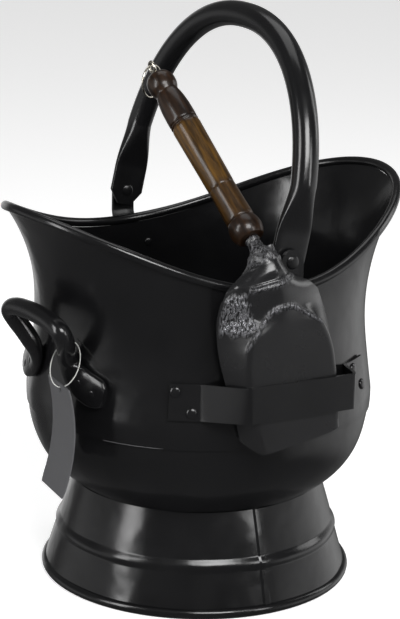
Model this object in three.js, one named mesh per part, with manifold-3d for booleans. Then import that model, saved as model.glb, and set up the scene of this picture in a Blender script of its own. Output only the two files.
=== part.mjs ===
// A helmet coal scuttle: a round sheet-iron bucket with two pouring lips on a flared foot, a tube bail,
// a bent-tube tipping handle, and a scoop with a turned wooden handle that stands in a strap bracket.
// Millimetres, +Z up. The origin is the middle of the foot on the floor, and +X is the pouring direction.
import * as THREE from 'three';
import { mergeVertices } from 'three/addons/utils/BufferGeometryUtils.js';
import Module from 'manifold-3d';

const wasm = await Module();
wasm.setup();

// ---------------------------------------------------------------- driving dimensions
const GAP = 0.3; // left between pieces that touch
const DEG = Math.PI / 180;
const ROUND = 48; // sides of the large round pieces

const SHEET = 1.5;
const FOOT = { beadR: 4.5, beadPathR: 131.5, lowR: 132.1, topR: 108.6, topZ: 86.2, swageZ: 43, swageH: 1.8,
  swageHalf: 5 };
const BOWL = { floorZ: 86.5, topZ: 162, topR: 148.1, reachZ: 102, power: 2.54 };
const SHELL = { lowZ: 155, lowR: 149.2, bellyZ: 170, bellyR: 149.3, drawnIn: 13.8, waistPower: 1.8,
  flarePower: 3.2 };
const RIM = { r0: 153.5, r2: 21, r4: 3.5, z0: 311.5, z1: 3, z2: 29.5, z4: 2.2, twist: 5.2 * DEG, wireR: 4 };

const RIVET = { headR: 4.6, headH: 2, pinR: 2.4, tailR: 3.8, tailH: 1.6 };
const DRILL_R = RIVET.pinR + GAP;
const PIVOT = { z: 310, pinR: 4, headR: 5.6, headH: 1.4, tailR: 5.2, tailH: 1.4, washerR: 9.5, washerT: 1.2 };
const EAR = { thick: 3, y: 147.8, tabW: 21, footW: 56, footZ: 248, footTopZ: 268, tabZ: 292, rivetX: 20,
  rivetZ: 261 };
const BAIL = { lean: 12 * DEG, tubeR: 10.8, flatW: 31.5, flatT: 5, flatY: 141, flatSquare: 0.35,
  halfSpan: 146, rise: 169, archZ: 12, power: 2.2, tipZ: -13, cornerZ: -1, cornerCut: 0.75, flatEndZ: 20,
  roundZ: 62 };

const TIP = { turn: 5.5 * DEG, tubeR: 8, plateW: 27, plateT: 7, plateSquare: 0.6, rivetR: 2.4, rivetHeadR: 4,
  rivetHeadH: 1.4, rivetSink: 1, seatDepth: 8 };
const STRAP = { thick: 2.5, high: 30, panelY: -172.75, panelX0: -51, panelX1: 50, panelZ: 202, footZ: 195,
  footA: [-128.7, -118], footB: [-62.5, -49.5], rivetsA: [-126.8, -121.4], rivetsB: [-57.8, -52.4],
  rivetRise: 8.5 };

// Along the scoop, distances run up its middle line from the tip. Its two sides differ above the bracket:
// toward +X it is beaten shallower and narrower, to pass the ear, and on the other side the shoulder is full.
const SCOOP = { x: 1.5, y: -171, z: 161.5, tilt: -10.2 * DEG, thick: 2, tipZ: 2.5,
  bendStart: 131.4, bendR: 40, lean: 47.8 * DEG, socketLength: 8, socketR: 10.8,
  halfW: 51, tipHalfW: 43.5, widestAt: 90, neckHalf: 12,
  floorHalf: 40, tipFloorHalf: 36, floorWidestAt: 40, archFrom: 66, archTo: 122, neckFloorHalf: 7,
  edgeDepth: 22, backDepth: 25, deepFrom: 60, deepTo: 110 };
const EAR_SIDE = { socketFrom: 118, socketTo: 162, shoulderFrom: 80, shoulderTo: 164, beatenFrom: 104,
  beatenTo: 130, beatenDepth: 14.5, beatenWidth: 0.92, cornerRise: 20 };
const FREE_SIDE = { socketFrom: 145, socketTo: 180, shoulderFrom: 84, shoulderTo: 180, beatenFrom: 110,
  beatenTo: 150, beatenDepth: 18, beatenWidth: 1, cornerRise: 9 };
const GRIP = { y: 40, z: 169.9, length: 172 };
const SHANK = { r: 9.4, neckR: 6, below: 24, tangR: 4, tangL: 32 };
const EYE = { ringR: 4.6, wireR: 1.4, screwR: 1.5, screwL: 16, neckL: 3 };
const RING = { r: 13.5, wireR: 0.9, turn: 27 * DEG };
const TAG = { x: -164, y: -61, z: 202, turn: -5.5 * DEG, wide: 50, high: 92, thick: 1.2, bow: 6, sweep: 5.4,
  bowAtHole: 1.2, holeR: 3.5, holeDrop: 5.5, slack: 1.3, chamfer: 1.5 };
const LOOP = { major: [0.476, 0.542, 0.694], halfLength: 22, halfWidth: 12, wireR: 0.8 };

// ---------------------------------------------------------------- materials
const paint = new THREE.MeshStandardMaterial({ color: 0x2a2a2b, roughness: 0.34, metalness: 0.1 });
const steel = new THREE.MeshStandardMaterial({ color: 0xb9b7b0, roughness: 0.28, metalness: 1 });
const wood = new THREE.MeshStandardMaterial({ color: 0x4a2e16, roughness: 0.3, metalness: 0 });
const card = new THREE.MeshStandardMaterial({ color: 0x4b4b4d, roughness: 0.6, metalness: 0 });
const nylon = new THREE.MeshStandardMaterial({ color: 0xc9c9c6, roughness: 0.4, metalness: 0 });

// ---------------------------------------------------------------- small helpers
const vec = (x, y, z) => new THREE.Vector3(x, y, z);
const lerp = THREE.MathUtils.lerp;
const ease = (x, a, b) => THREE.MathUtils.smoothstep(x, a, b);

function signedVolume(points, faces) {
  let sum = 0;
  for (let i = 0; i < faces.length; i += 3) {
    const [a, b, c] = [points[faces[i]], points[faces[i + 1]], points[faces[i + 2]]];
    sum += a.dot(b.clone().cross(c));
  }
  return sum;
}

// An indexed geometry from points and triangles, turned so that its faces point out.
function bodyOf(points, faces) {
  if (signedVolume(points, faces) < 0) faces.reverse();
  const geometry = new THREE.BufferGeometry();
  geometry.setAttribute('position', new THREE.Float32BufferAttribute(points.flatMap((p) => p.toArray()), 3));
  geometry.setIndex(faces);
  return geometry;
}

// The closed body between two grids of points, front[i][j] and back[i][j].
// i runs across and may close on itself.
function gridBody(front, back, closed = false) {
  const nu = front.length;
  const nv = front[0].length;
  const points = [...front.flat(), ...back.flat()];
  const at = (side, i, j) => side * nu * nv + (i % nu) * nv + j;
  const faces = [];
  const quad = (a, b, c, d) => faces.push(a, b, c, a, c, d);
  const lastU = closed ? nu : nu - 1;
  for (let i = 0; i < lastU; i++) {
    for (let j = 0; j < nv - 1; j++) {
      quad(at(0, i, j), at(0, i + 1, j), at(0, i + 1, j + 1), at(0, i, j + 1));
      quad(at(1, i, j), at(1, i, j + 1), at(1, i + 1, j + 1), at(1, i + 1, j));
    }
    quad(at(0, i + 1, 0), at(0, i, 0), at(1, i, 0), at(1, i + 1, 0));
    quad(at(0, i, nv - 1), at(0, i + 1, nv - 1), at(1, i + 1, nv - 1), at(1, i, nv - 1));
  }
  for (let j = 0; j < nv - 1 && !closed; j++) {
    quad(at(0, 0, j), at(0, 0, j + 1), at(1, 0, j + 1), at(1, 0, j));
    quad(at(0, nu - 1, j + 1), at(0, nu - 1, j), at(1, nu - 1, j), at(1, nu - 1, j + 1));
  }
  return bodyOf(points, faces);
}

// A sheet of even thickness about the middle surface point(u, v), both from 0 to 1.
function sheetBody(point, countU, countV, thickness, closed = false) {
  const step = 1e-3;
  const front = [];
  const back = [];
  for (let i = 0; i < (closed ? countU : countU + 1); i++) {
    front.push([]);
    back.push([]);
    for (let j = 0; j <= countV; j++) {
      const u = i / countU;
      const v = j / countV;
      const u0 = closed ? u - step : Math.max(u - step, 0);
      const u1 = closed ? u + step : Math.min(u + step, 1);
      const along = point(u1, v).sub(point(u0, v));
      const up = point(u, Math.min(v + step, 1)).sub(point(u, Math.max(v - step, 0)));
      const normal = along.cross(up).normalize().multiplyScalar(thickness / 2);
      front[i].push(point(u, v).add(normal));
      back[i].push(point(u, v).sub(normal));
    }
  }
  return gridBody(front, back, closed);
}

// A body through rings of points. Its ends are capped from their middles, or it closes on itself.
function loftBody(rings, closed = false) {
  const count = rings[0].length;
  const points = rings.flat();
  const faces = [];
  const last = closed ? rings.length : rings.length - 1;
  for (let i = 0; i < last; i++) {
    const next = (i + 1) % rings.length;
    for (let k = 0; k < count; k++) {
      const [a, b] = [i * count + k, i * count + ((k + 1) % count)];
      const [c, d] = [next * count + ((k + 1) % count), next * count + k];
      faces.push(a, b, c, a, c, d);
    }
  }
  if (!closed) {
    for (const [ring, flip] of [[0, true], [rings.length - 1, false]]) {
      const middle = rings[ring].reduce((sum, p) => sum.add(p), vec(0, 0, 0)).divideScalar(count);
      points.push(middle);
      for (let k = 0; k < count; k++) {
        const [a, b] = [ring * count + k, ring * count + ((k + 1) % count)];
        faces.push(points.length - 1, flip ? b : a, flip ? a : b);
      }
    }
  }
  return bodyOf(points, faces);
}

// A solid of revolution about +Z from a closed outline of [radius, height] pairs.
function lathe(outline, segments) {
  const closed = [...outline, outline[0]].map(([r, z]) => new THREE.Vector2(r, z));
  const geometry = new THREE.LatheGeometry(closed, segments);
  return geometry.rotateX(Math.PI / 2);
}

function toSolid(geometry) {
  const bare = geometry.clone();
  bare.deleteAttribute('normal');
  bare.deleteAttribute('uv');
  const merged = mergeVertices(bare, 1e-4);
  const vertProperties = new Float32Array(merged.attributes.position.array);
  const corners = merged.index.array;
  const kept = [];
  for (let i = 0; i < corners.length; i += 3) {
    const [a, b, c] = [corners[i], corners[i + 1], corners[i + 2]];
    if (a !== b && b !== c && c !== a) kept.push(a, b, c);
  }
  const mesh = new wasm.Mesh({ numProp: 3, vertProperties, triVerts: new Uint32Array(kept) });
  return new wasm.Manifold(mesh);
}

function toGeometry(solid) {
  const mesh = solid.getMesh();
  const geometry = new THREE.BufferGeometry();
  geometry.setAttribute('position', new THREE.BufferAttribute(new Float32Array(mesh.vertProperties), 3));
  geometry.setIndex(new THREE.BufferAttribute(new Uint32Array(mesh.triVerts), 1));
  return geometry;
}

function cut(geometry, tools) {
  return toGeometry(tools.reduce((body, tool) => body.subtract(toSolid(tool)), toSolid(geometry)));
}

const join = (first, second) => toGeometry(toSolid(first).add(toSolid(second)));

// Turns a geometry built about +Z so that +Z follows direction, and moves it to place.
function aim(geometry, direction, place) {
  const turn = new THREE.Quaternion().setFromUnitVectors(vec(0, 0, 1), direction.clone().normalize());
  return geometry.applyQuaternion(turn).translate(place.x, place.y, place.z);
}

const hole = (place, direction, radius, length) =>
  aim(new THREE.CylinderGeometry(radius, radius, length, 10).rotateX(Math.PI / 2), direction, place);

const object = new THREE.Group();

function add(name, geometry, material, parent = object) {
  const mesh = new THREE.Mesh(geometry, material);
  mesh.name = name;
  parent.add(mesh);
}

// ---------------------------------------------------------------- rivets
// place is on the outer face of the top plate, and grip is everything between the head and the tail.
function rivet(name, place, outward, grip, size = {}, sides = 10) {
  const { headR, headH, pinR, tailR, tailH } = { ...RIVET, ...size };
  const low = -grip - GAP;
  const outline = [[0, low - tailH], [tailR * 0.8, low - tailH], [tailR, low], [pinR, low], [pinR, GAP],
    [headR, GAP], [headR * 0.6, GAP + headH], [0, GAP + headH]];
  add(name, aim(lathe(outline, sides), outward, place), paint);
}

// ---------------------------------------------------------------- the rim's path and the bucket's wall
// The rim is a saddle with high lips at the front and back and low sides.
// Its back is turned a few degrees, as hand work is.
function rimAt(angle) {
  const t = angle - (RIM.twist * (1 - Math.cos(angle))) / 2;
  const r = RIM.r0 + RIM.r2 * Math.cos(2 * t) + RIM.r4 * Math.cos(4 * t);
  const z = RIM.z0 + RIM.z1 * Math.cos(t) + RIM.z2 * Math.cos(2 * t) + RIM.z4 * Math.cos(4 * t);
  return { r, z };
}

// Radius of the wall's middle surface: a belly, a drawn-in waist, and a flare out to the rim.
function wallR(angle, z) {
  const { lowZ, lowR, bellyZ, bellyR, drawnIn } = SHELL;
  if (z < bellyZ) return lerp(lowR, bellyR, (z - lowZ) / (bellyZ - lowZ));
  const rim = rimAt(angle);
  const u = Math.min((z - bellyZ) / (rim.z - bellyZ), 1);
  const taper = drawnIn * (1 - (1 - u) ** SHELL.waistPower);
  return bellyR - taper + (rim.r - bellyR + drawnIn) * u ** SHELL.flarePower;
}

const wallPoint = (angle, z) => {
  const r = wallR(angle, z);
  return vec(r * Math.cos(angle), r * Math.sin(angle), z);
};

function wallNormal(angle, z) {
  const across = wallPoint(angle + 0.01, z).sub(wallPoint(angle - 0.01, z));
  const up = wallPoint(angle, z + 0.5).sub(wallPoint(angle, z - 0.5));
  return across.cross(up).normalize();
}

// A point that stands off the wall's outer face by lift.
function offWall(angle, z, lift) {
  return wallPoint(angle, z).addScaledVector(wallNormal(angle, z), SHEET / 2 + lift);
}

// ---------------------------------------------------------------- foot
function makeFoot() {
  const lowZ = 2 * FOOT.beadR + GAP;
  const lowR = FOOT.lowR;
  const half = FOOT.swageHalf;
  const outer = [lowZ, FOOT.swageZ - half, FOOT.swageZ - half / 2, FOOT.swageZ + half / 2, FOOT.swageZ + half,
    FOOT.topZ].map((z) => {
    const cone = lerp(lowR, FOOT.topR, (z - lowZ) / (FOOT.topZ - lowZ));
    return [cone + (Math.abs(z - FOOT.swageZ) < half ? FOOT.swageH : 0), z];
  });
  const inner = [[FOOT.topR - SHEET, FOOT.topZ], [lowR - SHEET, lowZ]];
  add('foot_skirt', lathe([...outer, ...inner], ROUND), paint);
  // The bead's section has eight sides and stands on one of them.
  const beadSection = Array.from({ length: 8 }, (_, k) => {
    const a = (k - 1.5) * 45 * DEG;
    return [FOOT.beadPathR + FOOT.beadR * Math.cos(a), FOOT.beadR * (Math.sin(a) + Math.cos(22.5 * DEG))];
  });
  add('foot_bead', lathe(beadSection, ROUND), paint);
}

// ---------------------------------------------------------------- lower bowl
function makeBowl() {
  const { floorZ, topZ, topR, reachZ, power } = BOWL;
  const rows = 8;
  const crowding = 1.25; // rows stand closer together low down, where the bowl curves most
  const outer = [];
  for (let i = 0; i <= rows; i++) {
    const z = lerp(floorZ, topZ, (i / rows) ** crowding);
    outer.push([topR * Math.sqrt(1 - ((topZ - z) / reachZ) ** power), z]);
  }
  const inner = outer.slice(1).map(([r, z]) => [r - SHEET, z]).reverse();
  const last = inner[inner.length - 1];
  inner[inner.length - 1] = [last[0] - 1.5, last[1] + 0.5];
  const insideFloor = [[last[0] - 8, floorZ + SHEET], [0, floorZ + SHEET]];
  add('lower_bowl', lathe([[0, floorZ], ...outer, ...inner, ...insideFloor], ROUND), paint);
}

// ---------------------------------------------------------------- upper shell and rolled rim
function makeShell(holes) {
  const point = (u, v) => {
    const angle = u * 2 * Math.PI;
    const rim = rimAt(angle);
    const slope = (wallR(angle, rim.z) - wallR(angle, rim.z - 3)) / 3;
    const topZ = rim.z - (RIM.wireR + 1.5 * GAP) / Math.hypot(1, slope);
    const z = lerp(SHELL.lowZ, topZ, v);
    return wallPoint(angle, z);
  };
  add('upper_shell', cut(sheetBody(point, 60, 10, SHEET, true), holes), paint);
}

function makeRim() {
  const rings = [];
  const steps = 60;
  const sides = 8;
  const centre = (angle) => {
    const { r, z } = rimAt(angle);
    return vec(r * Math.cos(angle), r * Math.sin(angle), z);
  };
  for (let i = 0; i < steps; i++) {
    const angle = (i / steps) * 2 * Math.PI;
    const along = centre(angle + 0.01).sub(centre(angle - 0.01)).normalize();
    const out = vec(Math.cos(angle), Math.sin(angle), 0);
    const side = out.addScaledVector(along, -out.dot(along)).normalize();
    const up = along.clone().cross(side);
    rings.push(Array.from({ length: sides }, (_, k) => centre(angle)
      .addScaledVector(side, RIM.wireR * Math.cos((k / sides) * 2 * Math.PI))
      .addScaledVector(up, RIM.wireR * Math.sin((k / sides) * 2 * Math.PI))));
  }
  add('rim_bead', loftBody(rings, true), paint);
}

// ---------------------------------------------------------------- ears that carry the bail
// Each ear's wide foot is riveted on the wall, and it steps out round the rim to a narrow upright tab.
function earHoles(side) {
  return [-1, 1].map((end) => {
    const angle = side * 90 * DEG + Math.asin((end * EAR.rivetX) / wallR(side * 90 * DEG, EAR.rivetZ));
    return { end, place: wallPoint(angle, EAR.rivetZ), out: wallNormal(angle, EAR.rivetZ) };
  });
}

function makeEar(side, name) {
  const tabTop = PIVOT.z + EAR.tabW / 2 - 0.3;
  const halfWidth = (z) => {
    const round = Math.sqrt(Math.max((EAR.tabW / 2) ** 2 - Math.max(z - PIVOT.z, 0) ** 2, 4));
    return lerp(EAR.footW / 2, round, ease(z, EAR.footTopZ + 2, EAR.tabZ - 6));
  };
  const rows = [EAR.footZ, 254, 260, EAR.footTopZ, 272, 276, 280, 284, 288, EAR.tabZ, 301, PIVOT.z, 315,
    318.5, tabTop];
  const point = (u, v) => {
    const at = v * (rows.length - 1);
    const low = Math.min(Math.floor(at), rows.length - 2);
    const z = lerp(rows[low], rows[low + 1], at - low);
    const x = lerp(-1, 1, u) * halfWidth(z);
    const angle = side * (90 * DEG + Math.asin(x / wallR(90 * DEG, z)));
    const onWall = offWall(angle, z, GAP + EAR.thick / 2);
    onWall.x = -x;
    return onWall.lerp(vec(-x, side * EAR.y, z), ease(z, EAR.footTopZ, EAR.tabZ));
  };
  const drills = earHoles(side).map(({ place, out }) => hole(place, out, DRILL_R, 16));
  drills.push(hole(vec(0, side * EAR.y, PIVOT.z), vec(0, 1, 0), PIVOT.pinR + GAP, 12));
  add(`ear_${name}`, cut(sheetBody(point, 8, rows.length - 1, EAR.thick), drills), paint);
  for (const { end, place, out } of earHoles(side)) {
    const outer = place.clone().addScaledVector(out, SHEET / 2 + GAP + EAR.thick);
    rivet(`ear_rivet_${name}_${end * side > 0 ? 'a' : 'b'}`, outer, out, SHEET + GAP + EAR.thick);
  }
}

function makePivot(side, name) {
  const out = vec(0, side, 0);
  const earFace = EAR.y + EAR.thick / 2;
  const grip = earFace - (BAIL.flatY - BAIL.flatT / 2);
  rivet(`bail_pivot_${name}`, vec(0, side * earFace, PIVOT.z), out, grip, PIVOT, 16);
  const inner = EAR.y - EAR.thick / 2 - GAP - PIVOT.washerT;
  const bore = PIVOT.pinR + GAP;
  const { washerR, washerT } = PIVOT;
  const washer = lathe([[bore, 0], [washerR, 0], [washerR, washerT], [bore, washerT]], 20);
  add(`bail_washer_${name}`, aim(washer, out, vec(0, side * inner, PIVOT.z)), paint);
}

// ---------------------------------------------------------------- bail
// A ring of twelve points, centred on centre. square below 1 makes the ellipse fuller, toward a rectangle.
function sectionRing(centre, wide, thin, halfWide, halfThick, square) {
  const sides = 12;
  return Array.from({ length: sides }, (_, k) => {
    const [c, s] = [Math.cos((k / sides) * 2 * Math.PI), Math.sin((k / sides) * 2 * Math.PI)];
    const a = halfWide * Math.sign(c) * Math.abs(c) ** square;
    const b = halfThick * Math.sign(s) * Math.abs(s) ** square;
    return centre.clone().addScaledVector(wide, a).addScaledVector(thin, b);
  });
}

// The section is round on the arch and goes over to a flat, wide strip at both ends, its corners cut off.
function makeBail() {
  const { tubeR, flatW, flatT, flatY, halfSpan, rise, archZ, power, tipZ, cornerZ, flatEndZ, roundZ } = BAIL;
  const wide = vec(1, 0, 0);
  const firstTurn = Math.asin(((roundZ - archZ) / rise) ** (power / 2));
  const archPoint = (turn) => {
    const [c, s] = [Math.cos(turn), Math.sin(turn)];
    return vec(0, halfSpan * Math.sign(c) * Math.abs(c) ** (2 / power), archZ + rise * s ** (2 / power));
  };
  const legHeights = [tipZ, cornerZ, 10, flatEndZ, 28, 36, 44, 53];
  const legStart = archPoint(firstTurn).y;
  const leg = legHeights.map((z) => vec(0, lerp(flatY, legStart, ease(z, flatEndZ, roundZ)), z));
  const arch = Array.from({ length: 25 }, (_, i) => archPoint(lerp(firstTurn, Math.PI - firstTurn, i / 24)));
  const path = [...leg, ...arch, ...leg.map((p) => vec(0, -p.y, p.z)).reverse()];
  const rings = path.map((p, i) => {
    const along = path[Math.min(i + 1, path.length - 1)].clone().sub(path[Math.max(i - 1, 0)]);
    const thin = along.cross(wide).normalize();
    const round = ease(p.z, flatEndZ, roundZ);
    const tip = flatW / 2 - BAIL.cornerCut * Math.max(cornerZ - p.z, 0);
    const square = lerp(BAIL.flatSquare, 1, round);
    return sectionRing(p, wide, thin, lerp(tip, tubeR, round), lerp(flatT / 2, tubeR, round), square);
  });
  const drills = [-1, 1].map((side) => hole(vec(0, side * flatY, 0), vec(0, 1, 0), PIVOT.pinR + GAP, 14));
  const group = new THREE.Group();
  group.position.set(0, 0, PIVOT.z);
  group.rotation.y = BAIL.lean;
  object.add(group);
  add('bail_tube', cut(loftBody(rings), drills), paint, group);
}

// ---------------------------------------------------------------- tipping handle
// A tube bent to an open loop, its ends crushed flat and splayed down the wall. Half of its path, from an end
// to the middle, is mirrored. lift is the way off the wall, and flat is 1 on the crushed ends.
function tippingPath() {
  const half = [
    { angle: 24.6, z: 193.2, lift: 0, flat: 1, taper: 0.55 },
    { angle: 23.2, z: 193.5, lift: 0, flat: 1, taper: 0.85 },
    { angle: 19.5, z: 194.8, lift: 0, flat: 1, taper: 1 },
    { angle: 15.2, z: 198.8, lift: 0, flat: 1, taper: 1 },
    { angle: 12.4, z: 204.5, lift: 0, flat: 0.85, taper: 1 },
    { angle: 10.9, z: 211, lift: 0.5, flat: 0.45, taper: 1 },
    { angle: 10.6, z: 217.5, lift: 2, flat: 0.1, taper: 1 },
    { angle: 11.8, z: 226, lift: 6.5, flat: 0, taper: 1 },
    { angle: 13.6, z: 237, lift: 13.5, flat: 0, taper: 1 },
    { angle: 13.8, z: 246, lift: 18, flat: 0, taper: 1 },
    { angle: 12, z: 251.5, lift: 18, flat: 0, taper: 1 },
    { angle: 8.5, z: 254.8, lift: 16.3, flat: 0, taper: 1 },
    { angle: 4.3, z: 256.2, lift: 15, flat: 0, taper: 1 },
    { angle: 0, z: 256.8, lift: 14.6, flat: 0, taper: 1 },
  ];
  const mirrored = half.slice(0, -1).map((stop) => ({ ...stop, angle: -stop.angle })).reverse();
  return [...half, ...mirrored].map((stop) => {
    const angle = Math.PI + TIP.turn - stop.angle * DEG;
    const high = GAP + lerp(TIP.tubeR, TIP.plateT / 2, stop.flat) + stop.lift;
    return { ...stop, point: offWall(angle, stop.z, high), out: wallNormal(angle, stop.z) };
  });
}

function makeTippingHandle() {
  const path = tippingPath();
  const rings = path.map(({ point, out, flat, taper }, i) => {
    const after = path[Math.min(i + 1, path.length - 1)].point;
    const along = after.clone().sub(path[Math.max(i - 1, 0)].point).normalize();
    const thin = out.clone().addScaledVector(along, -out.dot(along)).normalize();
    const wide = along.clone().cross(thin);
    const halfWide = lerp(TIP.tubeR, TIP.plateW / 2, flat) * taper;
    const halfThin = lerp(TIP.tubeR, TIP.plateT / 2, flat);
    return sectionRing(point, wide, thin, halfWide, halfThin, lerp(1, TIP.plateSquare, flat));
  });
  const spots = tippingRivets();
  const seat = SHEET / 2 + GAP + TIP.plateT - TIP.rivetSink;
  const drills = spots.flatMap(({ place, out }) => {
    const seatMiddle = place.clone().addScaledVector(out, seat + TIP.seatDepth / 2);
    const seatHole = hole(seatMiddle, out, TIP.rivetHeadR + GAP, TIP.seatDepth);
    return [hole(place, out, TIP.rivetR + GAP, 30), seatHole];
  });
  add('tipping_handle', cut(loftBody(rings), drills), paint);
  for (const { name, place, out } of spots) {
    rivet(`tipping_rivet_${name}`, place.clone().addScaledVector(out, seat), out, SHEET / 2 + seat,
      { headR: TIP.rivetHeadR, headH: TIP.rivetHeadH, pinR: TIP.rivetR });
  }
}

function tippingRivets() {
  const spots = [];
  for (const [sideName, side] of [['left', 1], ['right', -1]]) {
    for (const [level, angle, z] of [['low', 20, 192.5], ['high', 14.4, 199.5]]) {
      const turn = Math.PI + TIP.turn - side * angle * DEG;
      spots.push({ name: `${sideName}_${level}`, place: wallPoint(turn, z), out: wallNormal(turn, z) });
    }
  }
  return spots;
}

// ---------------------------------------------------------------- strap bracket for the scoop
function strapRivets() {
  const spots = [];
  for (const [name, angles] of [['back', STRAP.rivetsA], ['front', STRAP.rivetsB]]) {
    for (const [i, level] of ['high', 'low'].entries()) {
      const turn = angles[i] * DEG;
      const z = STRAP.footZ + (level === 'high' ? STRAP.rivetRise : -STRAP.rivetRise);
      spots.push({ name: `${name}_${level}`, place: wallPoint(turn, z), out: wallNormal(turn, z) });
    }
  }
  return spots;
}

function makeStrap() {
  const lift = GAP + STRAP.thick / 2;
  const arc = ([from, to]) => Array.from({ length: 5 }, (_, i) => lerp(from, to, i / 4) * DEG);
  const rows = 4;
  const front = [];
  const back = [];
  for (let j = 0; j <= rows; j++) {
    const drop = STRAP.high * (j / rows - 0.5);
    const foot = (angle) => offWall(angle, STRAP.footZ + drop, lift);
    const panel = (x) => vec(x, STRAP.panelY, STRAP.panelZ + drop);
    const panelXs = [STRAP.panelX0, (STRAP.panelX0 + STRAP.panelX1) / 2, STRAP.panelX1];
    const line = [...arc(STRAP.footA).map(foot), ...panelXs.map(panel), ...arc(STRAP.footB).map(foot)];
    line.forEach((p, i) => {
      const before = line[Math.max(i - 1, 0)];
      const after = line[Math.min(i + 1, line.length - 1)];
      const enter = (i ? p.clone().sub(before) : after.clone().sub(p)).setZ(0).normalize();
      const leave = (i < line.length - 1 ? after.clone().sub(p) : p.clone().sub(before)).setZ(0).normalize();
      const miter = enter.clone().add(leave).normalize();
      const reach = STRAP.thick / 2 / Math.max(miter.dot(enter), 0.5);
      const offset = vec(miter.y, -miter.x, 0).multiplyScalar(reach);
      (front[i] ??= []).push(p.clone().add(offset));
      (back[i] ??= []).push(p.clone().sub(offset));
    });
  }
  const spots = strapRivets();
  const drills = spots.map(({ place, out }) => hole(place, out, DRILL_R, 16));
  add('scoop_bracket', cut(gridBody(front, back), drills), paint);
  for (const { name, place, out } of spots) {
    const outer = place.clone().addScaledVector(out, SHEET / 2 + GAP + STRAP.thick);
    rivet(`bracket_rivet_${name}`, outer, out, SHEET + GAP + STRAP.thick);
  }
}

// ---------------------------------------------------------------- scoop
// In the scoop's own frame +Z runs up the blade, +Y points to the bucket, and the outer face is at y = 0.
const gripAxis = vec(0, Math.sin(SCOOP.lean), Math.cos(SCOOP.lean));
const gripStart = vec(0, GRIP.y, GRIP.z);
const scoopLength = SCOOP.bendStart + SCOOP.bendR * SCOOP.lean + SCOOP.socketLength;

// The blade's middle line: straight, then bent over to the handle's direction.
function bladeLine(s) {
  const turn = THREE.MathUtils.clamp((s - SCOOP.bendStart) / SCOOP.bendR, 0, SCOOP.lean);
  const past = Math.max(s - SCOOP.bendStart - SCOOP.bendR * SCOOP.lean, 0);
  const y = SCOOP.thick / 2 + SCOOP.bendR * (1 - Math.cos(turn)) + past * Math.sin(turn);
  const z = Math.min(s, SCOOP.bendStart) + SCOOP.bendR * Math.sin(turn) + past * Math.cos(turn);
  return { centre: vec(0, y, z), inward: vec(0, Math.cos(turn), -Math.sin(turn)) };
}

// Falls from 1 to 0 as a quarter of an ellipse does.
const fallAway = (s, from, to) => Math.sqrt(Math.max(1 - (Math.max(s - from, 0) / (to - from)) ** 2, 0));

// u runs across, and v up from the tip: a flat floor, a wall on each side, and a half round socket above.
function bladePoint(u, v) {
  const s = lerp(SCOOP.tipZ, scoopLength, v);
  const side = Math.sign(u - 0.5);
  const share = Math.abs(2 * u - 1);
  const half = side > 0 ? EAR_SIDE : FREE_SIDE;
  const beaten = ease(s, half.beatenFrom, half.beatenTo);
  const socket = ease(s, half.socketFrom, half.socketTo);
  const shoulder = fallAway(s, half.shoulderFrom, half.shoulderTo) * lerp(1, half.beatenWidth, beaten);
  const taperedHalf = lerp(SCOOP.tipHalfW, SCOOP.halfW, ease(s, 0, SCOOP.widestAt));
  const halfW = Math.max(Math.min(SCOOP.halfW * shoulder, taperedHalf), SCOOP.neckHalf);
  const archHalf = SCOOP.floorHalf * fallAway(s, SCOOP.archFrom, SCOOP.archTo);
  const taperedFloor = lerp(SCOOP.tipFloorHalf, SCOOP.floorHalf, ease(s, 0, SCOOP.floorWidestAt));
  const floorHalf = Math.max(Math.min(archHalf, taperedFloor), SCOOP.neckFloorHalf);
  const backDepth = lerp(SCOOP.edgeDepth, SCOOP.backDepth, ease(s, SCOOP.deepFrom, SCOOP.deepTo));
  const depth = lerp(backDepth, half.beatenDepth, beaten);
  const onWall = Math.max(share - 0.5, 0) * 2;
  const across = share < 0.5 ? floorHalf * share * 2 : lerp(floorHalf, halfW, onWall);
  const round = share * Math.PI * 0.5;
  const a = lerp(across, SCOOP.socketR * Math.sin(round), socket);
  const e = lerp(depth * onWall, SCOOP.socketR * (1 - Math.cos(round)), socket);
  const cornerLift = half.cornerRise * (Math.max(share - 0.3, 0) / 0.7) ** 2 * Math.max(1 - v / 0.45, 0);
  const { centre, inward } = bladeLine(s);
  return centre.addScaledVector(inward, e).add(vec(side * a, 0, cornerLift));
}

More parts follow.
